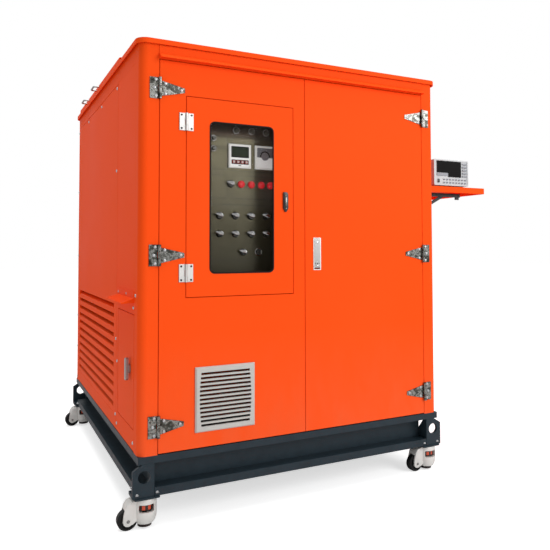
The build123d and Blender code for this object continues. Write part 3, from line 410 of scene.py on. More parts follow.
def lathe(bm, centre, axis, profile, steps):
    """Turn (radius, height) pairs, in millimetres, about an axis through the centre."""
    way = Vector(axis).normalized()
    side = way.orthogonal().normalized()
    rings = []
    for radius, height in profile:
        ring = []
        for step in range(steps if radius > 0 else 1):
            arm = Matrix.Rotation(2 * math.pi * step / steps, 3, way) @ side
            ring.append(bm.verts.new(centre + arm * (radius / 1000) + way * (height / 1000)))
        rings.append(ring)
    for low, high in zip(rings, rings[1:]):
        for step in range(steps):
            after = (step + 1) % steps
            below = [low[step % len(low)], low[after % len(low)]]
            above = [high[after % len(high)], high[step % len(high)]]
            unique = list(dict.fromkeys(below + above))
            if len(unique) > 2:
                bm.faces.new(unique)


def round_edges(bm, edges, radius, steps=2):
    bmesh.ops.bevel(bm, geom=edges, offset=radius, segments=steps, affect="EDGES", profile=0.5)


def slab(bm, low, high, bevel=0.0, steps=2):
    """A block between two corners, in metres, with its edges rounded."""
    made = bmesh.ops.create_cube(bm, size=1.0)
    for vert in made["verts"]:
        vert.co = Vector(low[i] + (high[i] - low[i]) * (vert.co[i] + 0.5) for i in range(3))
    if bevel:
        round_edges(bm, list({edge for vert in made["verts"] for edge in vert.link_edges}), bevel, steps)


def arc_points(x, z, radius, start, end, steps):
    """Points along an arc, from one angle in degrees to another."""
    angles = [math.radians(start + (end - start) * step / steps) for step in range(steps + 1)]
    return [(x + radius * math.cos(angle), z + radius * math.sin(angle)) for angle in angles]


def round_rect(x0, x1, z0, z1, radius, steps=6):
    """Corner points of a rounded rectangle, in millimetres."""
    left_x, right_x, low_z, high_z = x0 + radius, x1 - radius, z0 + radius, z1 - radius
    centres = ((right_x, high_z), (left_x, high_z), (left_x, low_z), (right_x, low_z))
    return [point for quarter, (x, z) in enumerate(centres)
            for point in arc_points(x, z, radius, 90 * quarter, 90 * quarter + 90, steps)]


def ring_plate(bm, outer, inner, y0, y1, spot=cab):
    """A flat ring between two outlines of equally many points, facing the doors' way."""
    loops = []
    for y, points in ((y0, outer), (y0, inner), (y1, inner), (y1, outer)):
        loops.append([bm.verts.new(spot(x, y, z)) for x, z in points])
    for first, second in zip(loops, loops[1:] + loops[:1]):
        for step in range(len(outer)):
            after = (step + 1) % len(outer)
            bm.faces.new((first[step], first[after], second[after], second[step]))


def prism(bm, near_points, far_points):
    """Close the space between two matching outlines, given in metres."""
    near = [bm.verts.new(point) for point in near_points]
    far = [bm.verts.new(point) for point in far_points]
    bm.faces.new(near)
    bm.faces.new(list(reversed(far)))
    for step in range(len(near)):
        after = (step + 1) % len(near)
        bm.faces.new((near[step], far[step], far[after], near[after]))


def face_plate(bm, points, y0, y1):
    """A flat plate with the given outline, facing the doors' way."""
    prism(bm, [cab(x, y0, z) for x, z in points], [cab(x, y1, z) for x, z in points])


def piece(name, bm, material, body, stands_for=(), smooth=True):
    """Finish a bmesh as an object that moves with a body."""
    bmesh.ops.remove_doubles(bm, verts=bm.verts, dist=1e-6)
    bmesh.ops.recalc_face_normals(bm, faces=bm.faces)
    mesh = bpy.data.meshes.new(name)
    bm.to_mesh(mesh)
    bm.free()
    made = bpy.data.objects.new(name, mesh)
    bpy.context.scene.collection.objects.link(made)
    mesh.materials.append(material)
    if smooth:
        mesh.shade_smooth()
        mesh.set_sharp_from_angle(angle=math.radians(35))
    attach(made, body)
    if stands_for:
        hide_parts(*stands_for)
    return made


pan_head = ((0, 1.9), (2.0, 1.9), (2.3, 3.3), (4.6, 2.9), (6.2, 1.3), (6.5, 0), (6.5, -0.6))


def heads(name, places, axis, body, profile=pan_head, material=zinc_plate):
    """One group of equal screw heads that look along an axis."""
    bm = bmesh.new()
    for place in places:
        lathe(bm, cab(*place), axis, profile, 16)
    return piece(name, bm, material, body)


left, right, front, rear, up = (-1, 0, 0), (1, 0, 0), (0, -1, 0), (0, 1, 0), (0, 0, 1)
cab_w, cab_d = (round((shell_high[i] - shell_low[i]) * 1000) for i in (0, 1))
edge_screw_in = 40
rear_edge = cab_d - edge_screw_in
side_rows = (18, 190, 363, 700, 1060, 1400)
top_screws = [(0, 404, 1408), (0, 762, 1406), (0, 1139, 1406)]
hood_screws = [(0, 346, 564), (0, 198, 565), (0, 49, 566)]
seam_screws = [(0, 394, 367), (0, 394, 60), (0, 404, 1061)]
cable_frame_screws = [(0, 366, 280), (0, 80, 30), (0, 366, 30), (0, 80, 520)]
left_screws = [(0, rear_edge, z) for z in side_rows]
left_screws += top_screws + hood_screws + seam_screws + cable_frame_screws
heads("left_side_screws", left_screws, left, "cabinet")
right_screws = [(cab_w, y, z) for y in (76, rear_edge) for z in side_rows]
right_screws += [(cab_w, 760, z) for z in (18, 700, 1400)]
heads("right_side_screws", right_screws, right, "cabinet")
rear_screws = [(x, cab_d, z) for x in (50, 470, 880, 1296) for z in (20, 480, 940, 1390)]
heads("rear_screws", rear_screws, rear, "cabinet")


# ---- Side skins and louvres --------------------------------------------------------------------------
# Each side skin is one folded sheet with a bank of rain louvres: the opening is flanged inwards and
# folded blades are spot-welded into it, lip outwards. The left front skin frames the cable door.
def side_cab(y, x, z):
    """The same as cab, for outlines drawn on a side face."""
    return cab(x, y, z)


def rectangle(y0, y1, z0, z1):
    return [(y1, z1), (y0, z1), (y0, z0), (y1, z0)]


skin_t = 2
skin_return = 20
louvre_zone = (440, 1404, 58, 508)
louvre_flange = 16
louvre_count = 11
louvre_pitch = 40.8
louvre_fold = (
    (0.8, 0), (0.8, 20.5), (3.0, 22.5), (27.0, 33.0),
    (27.0, 31.4), (3.8, 21.2), (2.4, 19.6), (2.4, 0))


def louvre_bank(bm, face, inward):
    """Folded blades between the two upright flanges; the lip stands in the face."""
    ends = (louvre_zone[0] + 1, louvre_zone[1] - 1)
    for row in range(louvre_count):
        z = louvre_zone[2] + louvre_pitch * row
        near, far = [[cab(face + inward * x, y, z + dz) for x, dz in louvre_fold] for y in ends]
        prism(bm, near, far)


def folded_skin(bm, face, inward, outside, opening, flange):
    """A sheet with returned edges and one flanged opening, in a side face."""
    y0, y1, z0, z1 = outside
    a0, a1, b0, b1 = opening
    back = face + inward * skin_t
    flat = sorted((face, back))
    fold = sorted((back, face + inward * skin_return))
    lip = sorted((back, face + inward * flange))
    inside = rectangle(y0 + skin_t, y1 - skin_t, z0 + skin_t, z1 - skin_t)
    around = rectangle(a0 - skin_t, a1 + skin_t, b0 - skin_t, b1 + skin_t)
    ring_plate(bm, rectangle(*outside), rectangle(*opening), *flat, side_cab)
    ring_plate(bm, rectangle(*outside), inside, *fold, side_cab)
    ring_plate(bm, around, rectangle(*opening), *lip, side_cab)


panels_low, panels_high = box_mm("right_side_panel")
skin_front, skin_foot = panels_low.y, panels_low.z
skin_rear, skin_top = panels_high.y, panels_high.z
left_skin_front = skin_front - 2.5
left_skin_top = skin_top + 2.6
seam_front = 383.5
seam_rear = 386.5
cable_opening = (71, 355, 77, 496)
bm = bmesh.new()
folded_skin(bm, 0, 1, (seam_rear, skin_rear, skin_foot, skin_top), louvre_zone, louvre_flange)
louvre_bank(bm, 0, 1)
folded_skin(bm, 0, 1, (left_skin_front, seam_front, skin_foot, left_skin_top), cable_opening, skin_return)
piece("left_skins", bm, orange, "cabinet", ("left_side_panels",), smooth=False)
bm = bmesh.new()
folded_skin(bm, cab_w, -1, (skin_front, skin_rear, skin_foot, skin_top), louvre_zone, louvre_flange)
louvre_bank(bm, cab_w, -1)
piece("right_skin", bm, orange, "cabinet", ("right_side_panel",), smooth=False)


# ---- Strap hinges ------------------------------------------------------------------------------------
# Three pressed stainless strap hinges carry each main door: a plain leaf on the post, a tapering
# strap on the door and a rolled barrel between them. Three pan head screws hold each leaf and strap.
def mirror_x(places):
    return [(cab_w - x, y, z) for x, y, z in places]


hinge_zs = (100, 712, 1322)
hinge_face = -3
leaf_holes = ((57, 30), (52, 0), (57, -30))
strap_holes = ((153, 0), (92, 19), (92, -19))
leaf_screws = [(x, hinge_face, z + dz) for z in hinge_zs for x, dz in leaf_holes]
strap_screws = [(x, hinge_face, z + dz) for z in hinge_zs for x, dz in strap_holes]
heads("leaf_screws", leaf_screws + mirror_x(leaf_screws), front, "cabinet")
heads("left_strap_screws", strap_screws, front, "left_door")
heads("right_strap_screws", mirror_x(strap_screws), front, "right_door")


# ---- Window door trim --------------------------------------------------------------------------------
# A black rubber seal is pressed round the window opening; the latch is a black housing with a
# chrome handle and two studs, coloured dark as a painted reflection, and the cast zinc butt hinges have
# sunk screws.
rubber = moulded("black_rubber", (0.010, 0.010, 0.010), 0.6, 500.0, 0.12)
glass_low, glass_high = box_mm("window_glass")
glass_hold = 12
opening_x0, opening_x1 = glass_low.x + glass_hold, glass_high.x - glass_hold
opening_z0, opening_z1 = glass_low.z + glass_hold, glass_high.z - glass_hold


def around_opening(grow, radius):
    """The window opening's outline, grown by a distance in millimetres."""
    return round_rect(opening_x0 - grow, opening_x1 + grow, opening_z0 - grow, opening_z1 + grow, radius)


bm = bmesh.new()
ring_plate(bm, around_opening(1.5, 21.5), around_opening(-4, 16), -1.6, 1.9)
piece("window_seal", bm, rubber, "window_door")

butt_low, butt_high = box_mm("window_hinge_leaves")
butt_pin_x = 173
butt_hole_out = 19
butt_hole_up = 25
butt_half = 33
dark_sink = ((0, 0.2), (1.6, 0.2), (1.9, 0.9), (3.4, 0.8), (3.9, 0))
for name, body, side in (("butt_screws_fixed", "left_door", -1), ("butt_screws_moving", "window_door", 1)):
    x = butt_pin_x + side * butt_hole_out
    holes = [(x, -4.6, middle_z + dz) for middle_z in (butt_low.z + butt_half, butt_high.z - butt_half)
             for dz in (-butt_hole_up, butt_hole_up)]
    heads(name, holes, front, body, dark_sink, black_steel)

latch_low, latch_high = box_mm("window_latch")
latch_x = (latch_low.x + latch_high.x) / 2
latch_z = (latch_low.z + latch_high.z) / 2
housing_face = -6
housing = ((-9, 39), (6, 39), (11, 30), (11, -26), (3, -40), (-3, -40), (-11, -26), (-11, 34))
bm = bmesh.new()
face_plate(bm, [(latch_x + x, latch_z + z) for x, z in housing], housing_face - 0.4, -0.3)
round_edges(bm, list(bm.edges), 0.0012)
for z, radius in ((25, 4.5), (-12, 4.0)):
    stud = ((radius, 0), (radius, 1.6), (0, 2.0))
    lathe(bm, cab(latch_x, housing_face, latch_z + z), front, stud, 20)
lathe(bm, cab(latch_x, 20, latch_z), front, ((0, 0), (9, 0), (9, 5), (5, 5), (5, 26)), 20)
piece("window_latch_body", bm, black_plastic, "window_latch", ("window_latch",))
# The handle and studs are chrome with a dark base colour: a painted dark reflection.
chrome_painted_dark = grained_steel("chrome_painted_dark", (0.20, 0.19, 0.18), 0.20, 90.0, (1, 1, 2))
upper_stud = ((5, 0), (5, 2.6), (3.4, 3.4), (2.2, 2.6), (0, 2.6))
lower_stud = ((3.5, 0), (3.5, 2.2), (2, 2.8), (0, 2.2))
bm = bmesh.new()
slab(bm, cab(latch_x - 4, -9.5, latch_z - 18), cab(latch_x + 4, housing_face - 0.2, latch_z + 18), 0.0012)
lathe(bm, cab(latch_x - 1, housing_face, latch_z + 26), front, upper_stud, 20)
lathe(bm, cab(latch_x + 1, housing_face, latch_z - 26), front, lower_stud, 16)
piece("window_latch_handle", bm, chrome_painted_dark, "window_latch")


# ---- Door lock ---------------------------------------------------------------------------------------
# A die-cast flush lift handle in the right door: a raised frame round the pocket, the paddle and a
# chrome key cylinder near its foot, with a stud at its head.
bright_chrome = grained_steel("bright_chrome", (0.70, 0.70, 0.70), 0.12, 90.0, (1, 1, 2))
paddle_low, paddle_high = box_mm("door_lock_paddle")
lock_x = (paddle_low.x + paddle_high.x) / 2
lock_z = paddle_low.z + 59
paddle_face = -3


def around_pocket(half_w, half_h, radius):
    """A rounded outline round the middle of the paddle's pocket."""
    return round_rect(lock_x - half_w, lock_x + half_w, lock_z - half_h, lock_z + half_h, radius, 2)


bm = bmesh.new()
ring_plate(bm, around_pocket(17.5, 66, 3), around_pocket(13.6, 62.6, 1.5), -2.2, -0.15)
piece("lock_frame", bm, cast_zinc, "right_door")
barrel = ((9, 0), (9, 2.6), (7.4, 3.4), (6.2, 3.0), (5.8, 1.6), (0, 1.6))
head_stud = ((4.5, 0), (4.5, 0.8), (3.5, 1.2), (0, 1.2))
key_x, key_z = lock_x + 1, lock_z - 40
bm = bmesh.new()
lathe(bm, cab(key_x, paddle_face, key_z), front, barrel, 24)
lathe(bm, cab(lock_x, paddle_face, lock_z + 46), front, head_stud, 20)
piece("lock_cylinder", bm, bright_chrome, "lock_paddle")
# The keyway is a thin black block on the cylinder's face: painted shade of the slot.
bm = bmesh.new()
slab(bm, cab(key_x - 1.5, -5.4, key_z - 4), cab(key_x + 1.5, -4.4, key_z + 4), 0.0002)
piece("lock_keyway_shade", bm, black_plastic, "lock_paddle")


# ---- Control panel -----------------------------------------------------------------------------------
# A folded steel panel in satin olive lacquer, its colour darker towards the bottom and ending in a dark
# reddish band at its head, with thin engraved frames round each group of controls. It hangs on four arms
# behind the window door.
def olive_lacquer(low, high):
    """Brushed lacquer between two heights: darker towards the bottom, lighter higher up, then a dark reddish
    band at the head.
    """
    material, tree, shader = surface("olive_lacquer", (0.068, 0.060, 0.029), 0.30, metal=0.55)
    share = (height_of(tree) - low) / (high - low)
    cloud = noise(tree, 5.0, 3.0, 0.55, (1, 1, 2))
    stops = (
        (0.0, (0.040, 0.036, 0.020)), (0.30, (0.068, 0.060, 0.033)), (0.58, (0.105, 0.093, 0.050)),
        (0.86, (0.12, 0.107, 0.058)), (0.905, (0.060, 0.030, 0.016)), (1.0, (0.024, 0.014, 0.010)))
    tone = node(tree, "ShaderNodeValToRGB", {"stops": stops}, {0: share + cloud * 0.06 - 0.03})
    brushed = noise(tree, 90.0, 3.0, 0.6, (0.05, 1, 1))
    feed(tree, shader, "Base Color", blend_colours(tree, brushed * 0.25, tone, (0.06, 0.055, 0.035)))
    feed(tree, shader, "Roughness", 0.24 + brushed * 0.2)
    raise_surface(tree, shader, brushed, 0.0001, 0.06)
    return material


panel_low, panel_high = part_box("control_panel")
finish_nodes(olive_lacquer(panel_low.z, panel_high.z), "control_panel")
panel_y = box_mm("control_panel")[0].y
engraved = moulded("engraved_line", (0.012, 0.010, 0.007), 0.5)
line_w = 2.2
line_corner = 7
group_frames = (
    (390, 586, 935, 1030), (240, 372, 935, 1030), (240, 372, 1050, 1135), (240, 372, 1140, 1185),
    (390, 586, 1046, 1185), (246, 586, 690, 912))
bm = bmesh.new()
for x0, x1, z0, z1 in group_frames:
    outer = round_rect(x0, x1, z0, z1, line_corner, 4)
    inner = round_rect(x0 + line_w, x1 - line_w, z0 + line_w, z1 - line_w, line_corner - line_w, 4)
    ring_plate(bm, outer, inner, panel_y - 0.25, panel_y - 0.02)
piece("panel_group_lines", bm, engraved, "cabinet", smooth=False)


# ---- Panel meters ------------------------------------------------------------------------------------
# A digital meter and a moving-coil meter, each 96 mm square in a pale moulded bezel. The first has a
# green screen over four keys, the second a blue-grey upper half with a printed arc and a round hub.
def painted_glow(material, level):
    """Painted light: a pale moulding given a faint glow of its own colour, so that it keeps its tone in the
    shade of the cabinet.
    """
    shader = material.node_tree.nodes["Principled BSDF"]
    shader.inputs["Emission Color"].default_value = shader.inputs["Base Color"].default_value
    shader.inputs["Emission Strength"].default_value = level
    return material


def screen_green():
    """Unlit green glass of a small display."""
    material, tree, shader = surface("lcd_green", (0.020, 0.032, 0.020), 0.5, specular=0.05)
    tint = noise(tree, 40.0, 2.0)
    feed(tree, shader, "Base Color", blend_colours(tree, tint, (0.012, 0.022, 0.013), (0.040, 0.060, 0.034)))
    raise_surface(tree, shader, tint, 0.0001, 0.1)
    return material


meters_low, meters_high = box_mm("panel_meters")
meter_half = (meters_high.z - meters_low.z) / 2
meter_z = meters_low.z + meter_half
digital_x = meters_low.x + meter_half
coil_x = meters_high.x - meter_half
face_half = 40.5
meter_face_y = 82.5
# The meter bezels and faces glow faintly: painted light that keeps them pale inside the shaded cabinet.
finish_nodes(painted_glow(moulded("grey_bezel", (0.84, 0.84, 0.80), 0.35), 0.28), "panel_meters")
bm = bmesh.new()
for x in (digital_x, coil_x):
    square = round_rect(x - face_half, x + face_half, meter_z - face_half, meter_z + face_half, 1.5, 2)
    face_plate(bm, square, meter_face_y, meter_face_y + 0.45)
piece("meter_faces", bm, painted_glow(moulded("meter_face", (0.90, 0.90, 0.88), 0.4), 0.36), "cabinet")

back_y = 82.6
bm = bmesh.new()
face_plate(bm, round_rect(digital_x - 38, digital_x + 38, 1101, 1146, 2, 2), 81.4, back_y)
face_plate(bm, round_rect(digital_x - 37, digital_x + 37, 1074, 1092, 1.5, 2), 81.6, back_y)
face_plate(bm, round_rect(digital_x - 7, digital_x + 5, 1067.5, 1070, 0.8, 2), 82.0, back_y)
dark_gloss = moulded("dark_gloss", (0.008, 0.008, 0.008), 0.5, specular=0.08)
piece("digital_meter_frame", bm, dark_gloss, "cabinet")
bm = bmesh.new()
face_plate(bm, round_rect(digital_x - 34, digital_x + 34, 1106, 1142, 1, 2), 80.9, 81.5)
piece("digital_screen", bm, screen_green(), "cabinet")

meter_key_count = 4
meter_key_pitch = 18
keys, marks = bmesh.new(), bmesh.new()
for number in range(meter_key_count):
    x = digital_x - meter_key_pitch * (meter_key_count - 1) / 2 + number * meter_key_pitch
    slab(keys, cab(x - 6.5, 79.8, 1077), cab(x + 6.5, 81.7, 1089.5), 0.0006)
    slab(marks, cab(x - 4, 79.2, 1079), cab(x + 4, 80.0, 1087.5), 0.0005)
piece("meter_keys", keys, moulded("key_red", (0.50, 0.030, 0.020), 0.35), "cabinet")
piece("meter_key_marks", marks, moulded("key_pale", (0.78, 0.70, 0.66), 0.35), "cabinet")

hub_x, hub_z = 533, 1112
hub_r = 17
arc_r = 22
arc_steps = 20
outer = arc_points(hub_x, hub_z, arc_r, -10, 190, arc_steps)
inner = arc_points(hub_x, hub_z, hub_r, -10, 190, arc_steps)
bm = bmesh.new()
for step in range(arc_steps):
    face_plate(bm, [outer[step], outer[step + 1], inner[step + 1], inner[step]], 81.8, back_y)
face_plate(bm, [(565, 1076), (575, 1069), (577, 1081), (571, 1084)], 81.6, back_y)
piece("coil_meter_arc", bm, black_plastic, "cabinet", smooth=False)
bm = bmesh.new()
face_plate(bm, round_rect(498, 578, 1107, 1147, 1.5, 2), 82.1, 82.55)
piece("coil_meter_upper", bm, moulded("meter_blue_grey", (0.33, 0.35, 0.38), 0.3), "cabinet")
bm = bmesh.new()
lathe(bm, cab(hub_x, 82.2, hub_z), front, ((hub_r, 0), (hub_r, 0.6), (0, 0.6)), 30)
piece("coil_meter_hub", bm, moulded("meter_hub", (0.42, 0.43, 0.46), 0.3), "cabinet")


# ---- Lamps -------------------------------------------------------------------------------------------
# A row of four red lamps with domed lenses, three smoked ones at the panel's head and two more at its
# left. Each lens is held by a turned chrome ring.
def lamp_lenses(red_below):
    """Red lenses up to a height, smoked ones above it."""
    material, tree, shader = surface("lamp_lenses", (0.55, 0.02, 0.02), 0.12)
    ribs = noise(tree, 300.0, 1.0)
    red = blend_colours(tree, ribs, (0.62, 0.014, 0.020), (0.36, 0.006, 0.010))
    upper = height_of(tree) > red_below
    feed(tree, shader, "Base Color", blend_colours(tree, upper, red, (0.12, 0.12, 0.10)))
    feed(tree, shader, "Roughness", 0.10 + ribs * 0.1)
    raise_surface(tree, shader, ribs, 0.0003, 0.2)
    return material


def red_lens():
    """Ribbed red glass that glows a little."""
    material, tree, shader = surface("red_lens", (0.62, 0.014, 0.020), 0.08)
    spark = noise(tree, 260.0, 1.0)
    feed(tree, shader, "Base Color", blend_colours(tree, spark, (0.70, 0.016, 0.024), (0.48, 0.008, 0.012)))
    raise_surface(tree, shader, spark, 0.0003, 0.2)
    shader.inputs["Emission Color"].default_value = (0.8, 0.01, 0.02, 1)
    shader.inputs["Emission Strength"].default_value = 0.35
    return material


finish_nodes(lamp_lenses(shell_low.z + 1.06), "indicator_lamps")
red_lamps = [(x, 994) for x in (429, 473, 517, 558)]
head_lamps = [(x, 1211) for x in (408, 476, 540)]
side_lamps = [(312, z) for z in (1173, 1132)]
lamp_r = 14
side_lamp_r = 12
lamp_y = panel_y - 3
sized_lamps = [(x, z, lamp_r) for x, z in red_lamps + head_lamps]
sized_lamps += [(x, z, side_lamp_r) for x, z in side_lamps]
bm = bmesh.new()
for x, z, radius in sized_lamps:
    ring = ((radius + 0.3, -3), (radius + 0.3, 0.4), (radius - 1, 1.4), (radius - 3, 1.2), (radius - 3, 0))
    lathe(bm, cab(x, lamp_y, z), front, ring, 28)
piece("lamp_rings", bm, satin_chrome, "cabinet")
dome_r = lamp_r + 0.8
dome_rise = 9
dome_foot = 4
angles = [math.radians(angle) for angle in range(0, 90, 15)]
curve = [(dome_r * math.cos(angle), dome_foot + dome_rise * math.sin(angle)) for angle in angles]
dome = [(dome_r, 1.5)] + curve + [(0, dome_foot + dome_rise)]
bm = bmesh.new()
for x, z in red_lamps:
    lathe(bm, cab(x, lamp_y, z), front, dome, 24)
piece("red_domes", bm, red_lens(), "cabinet")


# ---- Switches and key button -------------------------------------------------------------------------
# Ten lever switches: a turned black body on a short shaft, with a bright die-cast lever that points to
# the left. The key button beside the last is a black cap in a bright ring, with a white strip painted on
# its side as a highlight.
def middle_mm(name):
    """A CAD node's middle across the panel, in millimetres from the cabinet's foot."""
    low, high = box_mm(name)
    return (low.x + high.x) / 2, (low.z + high.z) / 2


seat_y = panel_y - 0.4
switch_body = (
    (0, -10), (6, -10), (6, 0.3), (15, 0.3), (15, 3),
    (13.6, 5), (12.6, 9), (11.6, 10.5), (0, 10.5))
lever = ((8, -5), (9, 3), (2, 10), (-21, 9), (-23, 5), (-9, 1), (-2, -4))
lever_foot = 10.2
tail_rise = 24
tip_rise = 17
for number in range(1, switch_count + 1):
    body = f"selector_{number}"
    x, z = middle_mm(f"selector_knob_{number}")
    bm = bmesh.new()
    lathe(bm, cab(x, seat_y, z), front, switch_body, 28)
    piece(f"switch_body_{number}", bm, black_plastic, body, (f"selector_knob_{number}",))
    bm = bmesh.new()
    crown = [cab(x + dx, seat_y - (tip_rise if dx < 0 else tail_rise), z + dz) for dx, dz in lever]
    foot = [cab(x + dx, seat_y - lever_foot, z + dz) for dx, dz in lever]
    prism(bm, crown, foot)
    round_edges(bm, list(bm.edges), 0.001)
    piece(f"switch_lever_{number}", bm, bright_chrome, body)

button_x, button_z = middle_mm("push_button")
button_cap = ((0, -10), (5.8, -10), (5.8, 4.4), (12.4, 4.4), (12.4, 12), (11, 14), (0, 14))
button_ring = ((15.4, 0), (15.4, 2.6), (14, 3.4), (13, 2.6), (13, 0))
bm = bmesh.new()
lathe(bm, cab(button_x, seat_y, button_z), front, button_cap, 28)
piece("key_button", bm, black_plastic, "push_button", ("push_button",))
bm = bmesh.new()
lathe(bm, cab(button_x, seat_y, button_z), front, button_ring, 28)
piece("key_button_ring", bm, bright_chrome, "cabinet")
# A white strip on the side of the cap: a painted highlight.
bm = bmesh.new()
slab(bm, cab(button_x + 5.5, 74.6, button_z - 8), cab(button_x + 9.5, 76.2, button_z + 8), 0.0008)
piece("key_button_painted_highlight", bm, white_plastic, "push_button")


# ---- Window glass ------------------------------------------------------------------------------------
# Five millimetre smoked polycarbonate, clamped behind the window door's opening by the seal. It
# darkens the panel a little.
def smoked_glass():
    material, tree, shader = surface("smoked_glass", (0.020, 0.018, 0.010), 0.05, specular=0.12)
    sweep = noise(tree, 3.0, 2.0, 0.5, (1, 1, 0.4))
    feed(tree, shader, "Alpha", 0.05 + sweep * 0.12)
    feed(tree, shader, "Roughness", 0.04 + sweep * 0.05)
    raise_surface(tree, shader, sweep, 0.0004, 0.05)
    return material


finish_nodes(smoked_glass(), "window_glass")


# ---- Instrument on the shelf -------------------------------------------------------------------------
# A bench-type power analyser in a light grey moulded case: black display, soft keys down the right,
# small keys along the foot, a rocker switch, and slots in the lid.
finish_nodes(moulded("case_grey", (0.60, 0.61, 0.62), 0.42), "instrument_case")
unit_low, unit_high = box_mm("instrument_case")
foot_h = 6
ux, uy, uz = unit_low.x, unit_low.y, unit_low.z + foot_h
key_back = uy + 0.3
display_black = moulded("display_black", (0.006, 0.005, 0.005), 0.45, specular=0.06)
display = ((18, 118), (18, 62), (88, 62), (88, 42), (168, 42), (168, 118))
bm = bmesh.new()
face_plate(bm, [(ux + x, uz + z) for x, z in display], uy - 1.2, uy + 0.4)
piece("unit_display", bm, display_black, "instrument")

soft_key_count = 5
soft_key_pitch = 15
bm = bmesh.new()
face_plate(bm, round_rect(ux + 17, ux + 86, uz + 46, uz + 60, 2, 2), uy - 0.7, key_back)
for row in range(soft_key_count):
    z = uz + 108 - row * soft_key_pitch
    slab(bm, cab(ux + 177, uy - 2.4, z - 4), cab(ux + 205, key_back, z + 4), 0.0008)
piece("unit_soft_keys", bm, moulded("key_grey", (0.30, 0.31, 0.34), 0.45), "instrument")

small_key_count = 8
small_key_pitch = 19
bm = bmesh.new()
for column in range(small_key_count):
    x = ux + 62 + column * small_key_pitch
    for z in (uz + 14, uz + 29):
        slab(bm, cab(x - 4, uy - 2.2, z - 3), cab(x + 4, key_back, z + 3), 0.0006)
piece("unit_small_keys", bm, moulded("small_key", (0.20, 0.21, 0.26), 0.4), "instrument")
bm = bmesh.new()
slab(bm, cab(ux + 22, uy - 2.8, uz + 12), cab(ux + 32, key_back, uz + 30), 0.001)
piece("unit_rocker", bm, black_plastic, "instrument")

lid_slot_count = 12
lid_slot_pitch = 18
# The lid's slots are drawn as thin black strips on the surface: painted shade of the openings.
bm = bmesh.new()
for row in range(lid_slot_count):
    y = uy + 60 + row * lid_slot_pitch
    slab(bm, cab(ux + 40, y, unit_high.z - 0.5), cab(ux + 175, y + 5, unit_high.z + 0.25))
piece("unit_lid_slot_shade", bm, rubber, "instrument")


# ---- Casters -----------------------------------------------------------------------------------------
# Levelling casters: an aluminium casting round a ratchet dial of orange and black nylon, with a black
# wheel on a riveted axle. Four zinc-plated hex bolts hold each plate to the frame.
def shape_of(bm):
    """A bmesh as a loose object, for joining and cutting."""
    mesh = bpy.data.meshes.new("tool")
    bmesh.ops.recalc_face_normals(bm, faces=bm.faces)
    bm.to_mesh(mesh)
    bm.free()
    made = bpy.data.objects.new("tool", mesh)
    bpy.context.scene.collection.objects.link(made)
    return made


def carve(made, bm, how="DIFFERENCE"):
    """Cut one shape with another, or join them, and drop the tool."""
    cutter = shape_of(bm)
    change = made.modifiers.new("cut", "BOOLEAN")
    change.solver = "EXACT"
    change.operation = how
    change.object = cutter
    bpy.context.view_layer.update()
    result = bpy.data.meshes.new_from_object(made.evaluated_get(bpy.context.evaluated_depsgraph_get()))
    made.modifiers.clear()
    made.data = result
    bpy.data.objects.remove(cutter)


def upright(x, y, z):
    """Metres for a point given in millimetres from the swivel axis at the floor."""
    return Vector((x, y, z)) / 1000


wheel_trail = -63
axle_z = 36
fork_half = 24.5
wheel_gap = 17
drum = ((0, 108.4), (34, 108.4), (40, 106), (42.5, 100), (43, 52), (42, 40), (38.5, 28), (33, 19), (0, 19))
wheel_room = ((0, 0), (39, 0), (39, 2 * wheel_gap), (0, 2 * wheel_gap))
dial_room = ((0, -4), (33.5, -4), (33.5, 88.6), (0, 88.6))


def fork_outline():
    """The fork seen from its side, round the axle."""
    eye_round = arc_points(wheel_trail, axle_z, 18, 175, 325, 10)
    return [(-12, 104), (-40, 105), (-62, 98), (-72, 84), (-79, 56)] + eye_round + [(-24, 44), (-12, 50)]


def caster_casting():
    """Drum with two dial windows and a two-cheeked fork, cast in one."""
    bm = bmesh.new()
    lathe(bm, upright(0, 0, 0), up, drum, 48)
    casting = shape_of(bm)
    fork = bmesh.new()
    outline = fork_outline()
    near, far = [[upright(x, y, z) for x, z in outline] for y in (-fork_half, fork_half)]
    prism(fork, near, far)
    fork_width = 2 * fork_half / 1000
    rims = [edge for edge in fork.edges if abs(edge.calc_length() - fork_width) > 1e-4]
    round_edges(fork, rims, 0.0022)
    carve(casting, fork, "UNION")
    under_wheel = bmesh.new()
    slab(under_wheel, upright(-120, -wheel_gap, -5), upright(-20, wheel_gap, 38))
    carve(casting, under_wheel)
    over_wheel = bmesh.new()
    lathe(over_wheel, upright(wheel_trail, -wheel_gap, axle_z), rear, wheel_room, 48)
    carve(casting, over_wheel)
    for y0, y1 in ((-50, -20), (20, 50)):
        window = bmesh.new()
        slab(window, upright(-28, y0, 62), upright(26, y1, 89), 0.004, 3)
        carve(casting, window)
    hollow = bmesh.new()
    lathe(hollow, upright(0, 0, 0), up, dial_room, 48)
    carve(casting, hollow)
    bm = bmesh.new()
    bm.from_mesh(casting.data)
    bpy.data.objects.remove(casting)
    return bm


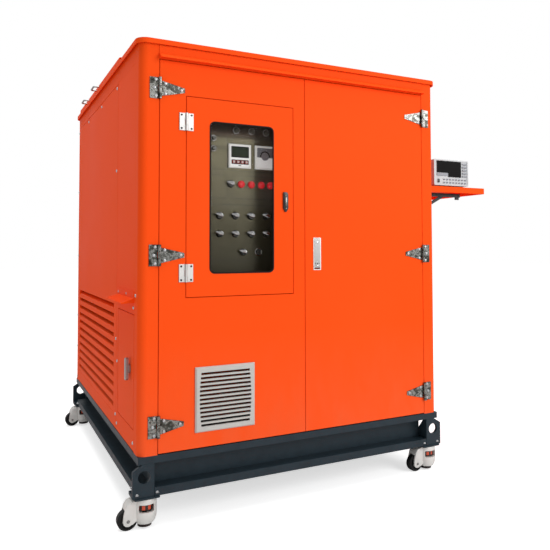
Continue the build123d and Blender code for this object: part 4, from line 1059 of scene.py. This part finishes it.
def dial_nylon(name, axis):
    """Black nylon with a band of orange stripes round the dial's axis."""
    material, tree, shader = surface(name, (0.60, 0.08, 0.02), 0.4)
    split = node(tree, "ShaderNodeSeparateXYZ", None, {0: place_of(tree)}).socket.node
    across, along, height = (Flow(tree, split.outputs[i]) for i in range(3))
    angle = (along - axis.y).math("ARCTAN2", across - axis.x)
    stripes = (angle * 9).math("SINE") > -0.1
    band = (height > 0.068) * (height < 0.083) * stripes
    dirt = noise(tree, 60.0, 3.0)
    warm = blend_colours(tree, dirt, (0.75, 0.10, 0.03), (0.45, 0.05, 0.02))
    feed(tree, shader, "Base Color", blend_colours(tree, band, (0.022, 0.010, 0.008), warm))
    feed(tree, shader, "Roughness", 0.34 + dirt * 0.2)
    raise_surface(tree, shader, dirt, 0.0003, 0.3)
    return material


dial = ((9, 65), (31, 65), (31.4, 66), (31.4, 87), (31, 88.1), (9, 88.1))
rivet = ((0, 2.2), (2.4, 2.2), (3.4, 1.2), (3.8, 0), (5.6, 0), (6.0, -0.8))
hex_head = ((0, 5.4), (4.2, 5.4), (5.2, 4.6), (6.6, 4.0), (7.4, 0), (9.2, 0), (9.2, -1.2))
bolt_out = 36
bolt_z = 127.2
for corner in corners:
    low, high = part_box(f"caster_jack_{corner}")
    axis = Vector(((low.x + high.x) / 2, (low.y + high.y) / 2, 0.0))
    nylon_dial = dial_nylon(f"dial_nylon_{corner}", axis)
    finish_nodes(nylon_dial, f"caster_jack_{corner}")
    bm = bmesh.new()
    lathe(bm, axis, up, dial, 48)
    piece(f"caster_dial_{corner}", bm, nylon_dial, f"jack_{corner}")
    bm = bmesh.new()
    for y, way in ((-fork_half, front), (fork_half, rear)):
        lathe(bm, axis + upright(wheel_trail, y, axle_z), way, rivet, 18)
    piece(f"caster_rivets_{corner}", bm, satin_chrome, f"swivel_{corner}")
    bm = caster_casting()
    bmesh.ops.translate(bm, verts=bm.verts, vec=axis)
    piece(f"caster_casting_{corner}", bm, cast_aluminium, f"swivel_{corner}", (f"caster_housing_{corner}",))
    bm = bmesh.new()
    for x in (-bolt_out, bolt_out):
        for y in (-bolt_out, bolt_out):
            lathe(bm, axis + upright(x, y, bolt_z), up, hex_head, 6)
    piece(f"caster_bolts_{corner}", bm, zinc_plate, "cabinet", smooth=False)
